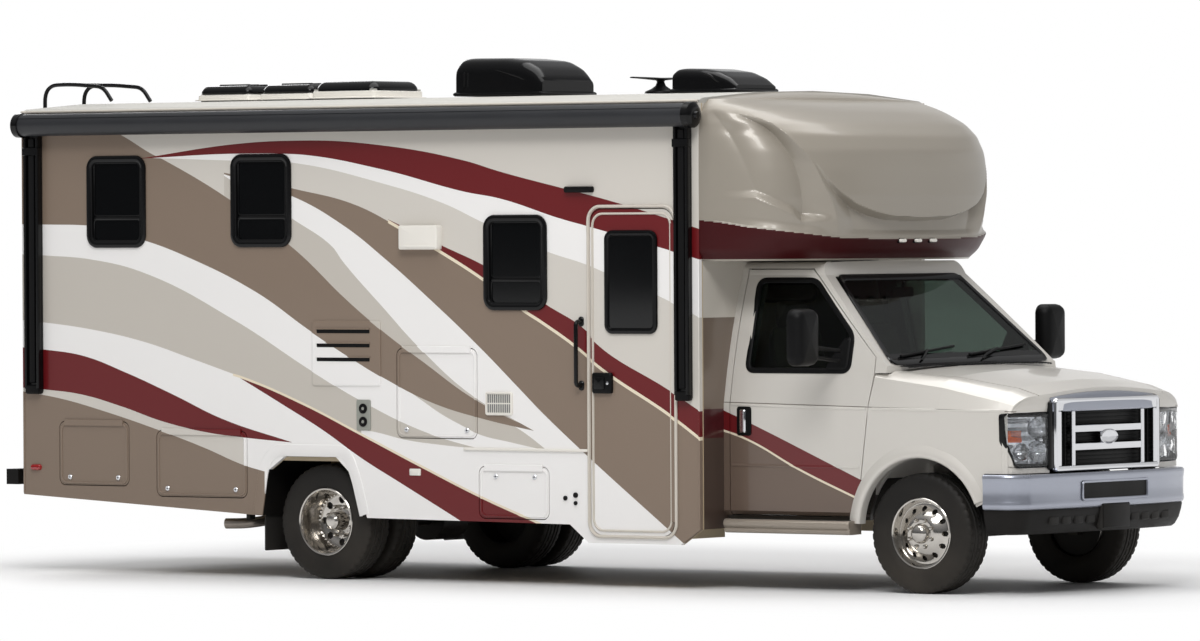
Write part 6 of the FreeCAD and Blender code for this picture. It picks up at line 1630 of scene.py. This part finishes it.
def make_running_boards():
    """A step board under each cab door: a moulded section with a ribbed tread."""
    shell = Shell()
    y, z = np.array(((0.940, 0.356), (1.046, 0.354), (1.064, 0.360), (1.070, 0.374),
                     (1.062, 0.386), (1.072, 0.394), (1.078, 0.408), (1.076, 0.426),
                     (1.064, 0.437), (1.046, 0.440), (0.940, 0.438))).T
    x, inset = np.array(((1.792, 0.010), (1.800, 0.0), (2.728, 0.0), (2.737, 0.010))
                        ).T[:, :, None]
    for sign in (-1, 1):
        shell.solid(joined(x, sign * (y - inset), z))
        for rib in (0.965, 0.982, 0.999, 1.016, 1.033):
            shell.block((1.83, sign * rib, 0.436), (2.70, sign * (rib + 0.009), 0.4435), 0.002,
                        1)
    made = shell.build("step_boards", "motorhome", ["board_taupe", "black_rubber"],
                       "black_plastic")
    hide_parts("running_boards")


# ----------------------------------------------------------------------------------------------
# Stage: floor, light and camera
# ----------------------------------------------------------------------------------------------
# Name, place, what it looks at, width, height, power
SOFT_BOXES = (
    ("key_box", (8.5, -13.0, 13.5), (0.5, -0.5, 1.2), 8.0, 5.0, 1700.0),
    ("top_box", (0.5, 0.0, 11.0), (0.0, 0.0, 0.0), 14.0, 8.0, 900.0),
    ("rear_box", (-14.0, 8.0, 7.0), (0.0, 0.0, 1.5), 8.0, 5.0, 500.0),
)
FLOOR_HALF = 160.0

# The camera: place, then its turn to the left, up and over in radians
CAMERA_PLACE = (30.047, -40.482, 2.235)
YAW, PITCH, ROLL = 0.63761, -0.01157, -0.00536


def make_floor():
    """A pale floor that takes the shadow and glows white further out. How far out: the
    longer of zero and what the place lies past a rectangle round the wheels, both ways."""
    mesh = bpy.data.meshes.new("studio_floor")
    s = FLOOR_HALF
    mesh.from_pydata([(-s, -s, 0), (s, -s, 0), (s, s, 0), (-s, s, 0)], [], [(0, 1, 2, 3)])
    floor = bpy.data.objects.new("studio_floor", mesh)
    bpy.context.scene.collection.objects.link(floor)
    made = bpy.data.materials.new("floor_white")
    work = emptied(made)
    shader = work.add("ShaderNodeBsdfPrincipled", {
        "Base Color": (0.82, 0.82, 0.82, 1), "Roughness": 0.55})
    glow = work.add("ShaderNodeEmission", {"Color": (1, 1, 1, 1), "Strength": 1.0})
    _, (x, y, _) = work.place()
    out_x = work.math("MAXIMUM", work.math("SUBTRACT", work.math("ABSOLUTE", x), 3.8), 0.0)
    out_y = work.math("MAXIMUM", work.math("SUBTRACT", y, 3.0), work.math("SUBTRACT", -1.2, y))
    out_y = work.math("MAXIMUM", out_y, 0.0)
    away = work.math("SQRT", work.math("ADD", work.math("POWER", out_x, 2.0),
                                       work.math("POWER", out_y, 2.0)))
    far = work.add("ShaderNodeMapRange", {"Value": away, "From Min": 0.25, "From Max": 2.4},
                   interpolation_type="SMOOTHSTEP").outputs[0]
    both = work.add("ShaderNodeMixShader", {0: far, 1: shader.outputs[0], 2: glow.outputs[0]})
    work.add("ShaderNodeOutputMaterial", {"Surface": both.outputs[0]})
    mesh.materials.append(made)


def make_sky():
    """A bright studio sky, white for the camera, darker toward the ground in reflections,
    with a pale wall low on the far side that only bright surfaces mirror."""
    world = bpy.data.worlds.new("studio_sky")
    bpy.context.scene.world = world
    work = emptied(world)
    ways = work.add("ShaderNodeTexCoord").outputs["Generated"]
    _, y, up = work.add("ShaderNodeSeparateXYZ", {0: ways}).outputs
    ramp = work.add("ShaderNodeValToRGB", {0: up})
    stops = ramp.color_ramp.elements
    stops[0].position, stops[0].color = 0.0, (0.12, 0.12, 0.13, 1)
    stops[1].position, stops[1].color = 0.75, (1.0, 1.0, 1.0, 1)
    stops.new(0.12).color = (0.34, 0.35, 0.36, 1)
    stops.new(0.35).color = (0.72, 0.72, 0.74, 1)
    behind = work.add("ShaderNodeMapRange", {"Value": y, "From Min": 0.35,
                                             "From Max": 0.70}).outputs[0]
    low = work.add("ShaderNodeMapRange", {"Value": up, "From Min": 0.34,
                                          "From Max": 0.24}).outputs[0]
    path = work.add("ShaderNodeLightPath").outputs
    wall = work.times(behind, work.times(low, path["Is Glossy Ray"]))
    sky = work.mix(wall, ramp.outputs[0], (1.7, 1.7, 1.7, 1))
    light = work.add("ShaderNodeBackground", {"Color": sky, "Strength": 0.45})
    white = work.add("ShaderNodeBackground", {"Color": (1, 1, 1, 1), "Strength": 1.0})
    both = work.add("ShaderNodeMixShader", {0: path["Is Camera Ray"], 1: light.outputs[0],
                                            2: white.outputs[0]})
    work.add("ShaderNodeOutputWorld", {"Surface": both.outputs[0]})


def make_lights():
    """The soft boxes."""
    for name, place, aim, width, height, power in SOFT_BOXES:
        lamp = bpy.data.lights.new(name, "AREA")
        lamp.shape = "RECTANGLE"
        lamp.size, lamp.size_y, lamp.energy = width, height, power
        obj = bpy.data.objects.new(name, lamp)
        bpy.context.scene.collection.objects.link(obj)
        obj.location = place
        obj.rotation_euler = (Vector(aim) - Vector(place)).to_track_quat("-Z", "Y").to_euler()


def make_camera():
    """A long lens near eye height, turned by three angles."""
    camera = bpy.data.cameras.new("camera")
    camera.lens, camera.sensor_width, camera.clip_end = 234.45, 36.0, 400.0
    eye = bpy.data.objects.new("camera", camera)
    bpy.context.scene.collection.objects.link(eye)
    ahead = Vector((-np.sin(YAW) * np.cos(PITCH), np.cos(YAW) * np.cos(PITCH), np.sin(PITCH)))
    right = Vector((np.cos(YAW), np.sin(YAW), 0.0))
    over = right.cross(ahead)
    turn = Matrix((right * np.cos(ROLL) + over * np.sin(ROLL),
                   over * np.cos(ROLL) - right * np.sin(ROLL), -ahead)).transposed()
    eye.matrix_world = Matrix.Translation(CAMERA_PLACE) @ turn.to_4x4()
    bpy.context.scene.camera = eye


def make_stage():
    """Floor, sky, soft boxes and camera."""
    bpy.context.scene.view_settings.view_transform = "Standard"
    make_floor()
    make_sky()
    make_lights()
    make_camera()


# ----------------------------------------------------------------------------------------------
# Add-on: settings, one operator for each group of pieces, the sidebar panel
# ----------------------------------------------------------------------------------------------
class MotorhomeSettings(bpy.types.PropertyGroup):
    """Sizes that the wheels are made with."""

    tread_depth: FloatProperty(
        name="Tread depth", description="Depth of the grooves round the tyres", default=0.008,
        min=0.0, max=0.02, unit="LENGTH", subtype="DISTANCE")
    tyre_steps: IntProperty(
        name="Tyre steps", description="Stations round each tyre", default=176, min=64, max=256)


class Step:
    """What all the operators share: they run their makers in order."""

    makers = ()

    def execute(self, context):
        for maker in self.makers:
            maker()
        return {"FINISHED"}


class MOTORHOME_OT_finishes(Step, bpy.types.Operator):
    """Gives the CAD nodes their finishes"""

    bl_idname = "motorhome.finishes"
    bl_label = "Finishes"
    makers = (dress_frame,)


class MOTORHOME_OT_cap(Step, bpy.types.Operator):
    """Builds the moulded cap over the cab"""

    bl_idname = "motorhome.cap"
    bl_label = "Cap over the cab"
    makers = (make_cap,)


class MOTORHOME_OT_house(Step, bpy.types.Operator):
    """Builds windows, hatches, entry door trim, fittings, edges and awning"""

    bl_idname = "motorhome.house"
    bl_label = "House trims"
    makers = (make_windows, make_hatches, make_entry_door, make_fittings, make_edge_trims,
              make_awning)


class MOTORHOME_OT_roof(Step, bpy.types.Operator):
    """Builds the roof units, vent domes, antenna and ladder"""

    bl_idname = "motorhome.roof"
    bl_label = "Roof and rear"
    makers = (make_roof_units, make_vents, make_antenna, make_ladder, make_rear)


class MOTORHOME_OT_wheels(bpy.types.Operator):
    """Builds the tyres and the bright wheels"""

    bl_idname = "motorhome.wheels"
    bl_label = "Wheels"

    def execute(self, context):
        settings = context.scene.motorhome
        make_wheels(settings.tread_depth, settings.tyre_steps)
        return {"FINISHED"}


class MOTORHOME_OT_cab(Step, bpy.types.Operator):
    """Builds grille, lamps, bumper trims, mirrors, seats and door trims"""

    bl_idname = "motorhome.cab"
    bl_label = "Cab"
    makers = (make_grille, make_lamps, make_header, make_front_panels, make_bumper,
              make_mirrors, make_seats, make_door_trims, make_fender_trims,
              make_windshield_trims, make_running_boards)


class MOTORHOME_OT_stage(Step, bpy.types.Operator):
    """Sets up the floor, the light and the camera"""

    bl_idname = "motorhome.stage"
    bl_label = "Stage"
    makers = (make_stage,)


OPERATORS = (MOTORHOME_OT_finishes, MOTORHOME_OT_cap, MOTORHOME_OT_house, MOTORHOME_OT_roof,
             MOTORHOME_OT_wheels, MOTORHOME_OT_cab, MOTORHOME_OT_stage)


class MOTORHOME_PT_sidebar(bpy.types.Panel):
    """The list of steps in the 3D view's sidebar"""

    bl_label = "Motorhome"
    bl_idname = "MOTORHOME_PT_sidebar"
    bl_space_type = "VIEW_3D"
    bl_region_type = "UI"
    bl_category = "Motorhome"

    def draw(self, context):
        settings = context.scene.motorhome
        self.layout.prop(settings, "tread_depth")
        self.layout.prop(settings, "tyre_steps")
        for each in OPERATORS:
            self.layout.operator(each.bl_idname)


CLASSES = (MotorhomeSettings, *OPERATORS, MOTORHOME_PT_sidebar)


def register():
    """Adds the settings, operators and panel to Blender."""
    for each in CLASSES:
        bpy.utils.register_class(each)
    bpy.types.Scene.motorhome = PointerProperty(type=MotorhomeSettings)


def unregister():
    """Takes them out again."""
    del bpy.types.Scene.motorhome
    for each in reversed(CLASSES):
        bpy.utils.unregister_class(each)


def main():
    """Builds everything in order."""
    register()
    bpy.ops.motorhome.finishes()
    bpy.ops.motorhome.cap()
    bpy.ops.motorhome.house()
    bpy.ops.motorhome.roof()
    bpy.ops.motorhome.wheels()
    bpy.ops.motorhome.cab()
    bpy.ops.motorhome.stage()
    bpy.context.view_layer.update()


if __name__ == "__main__":
    main()
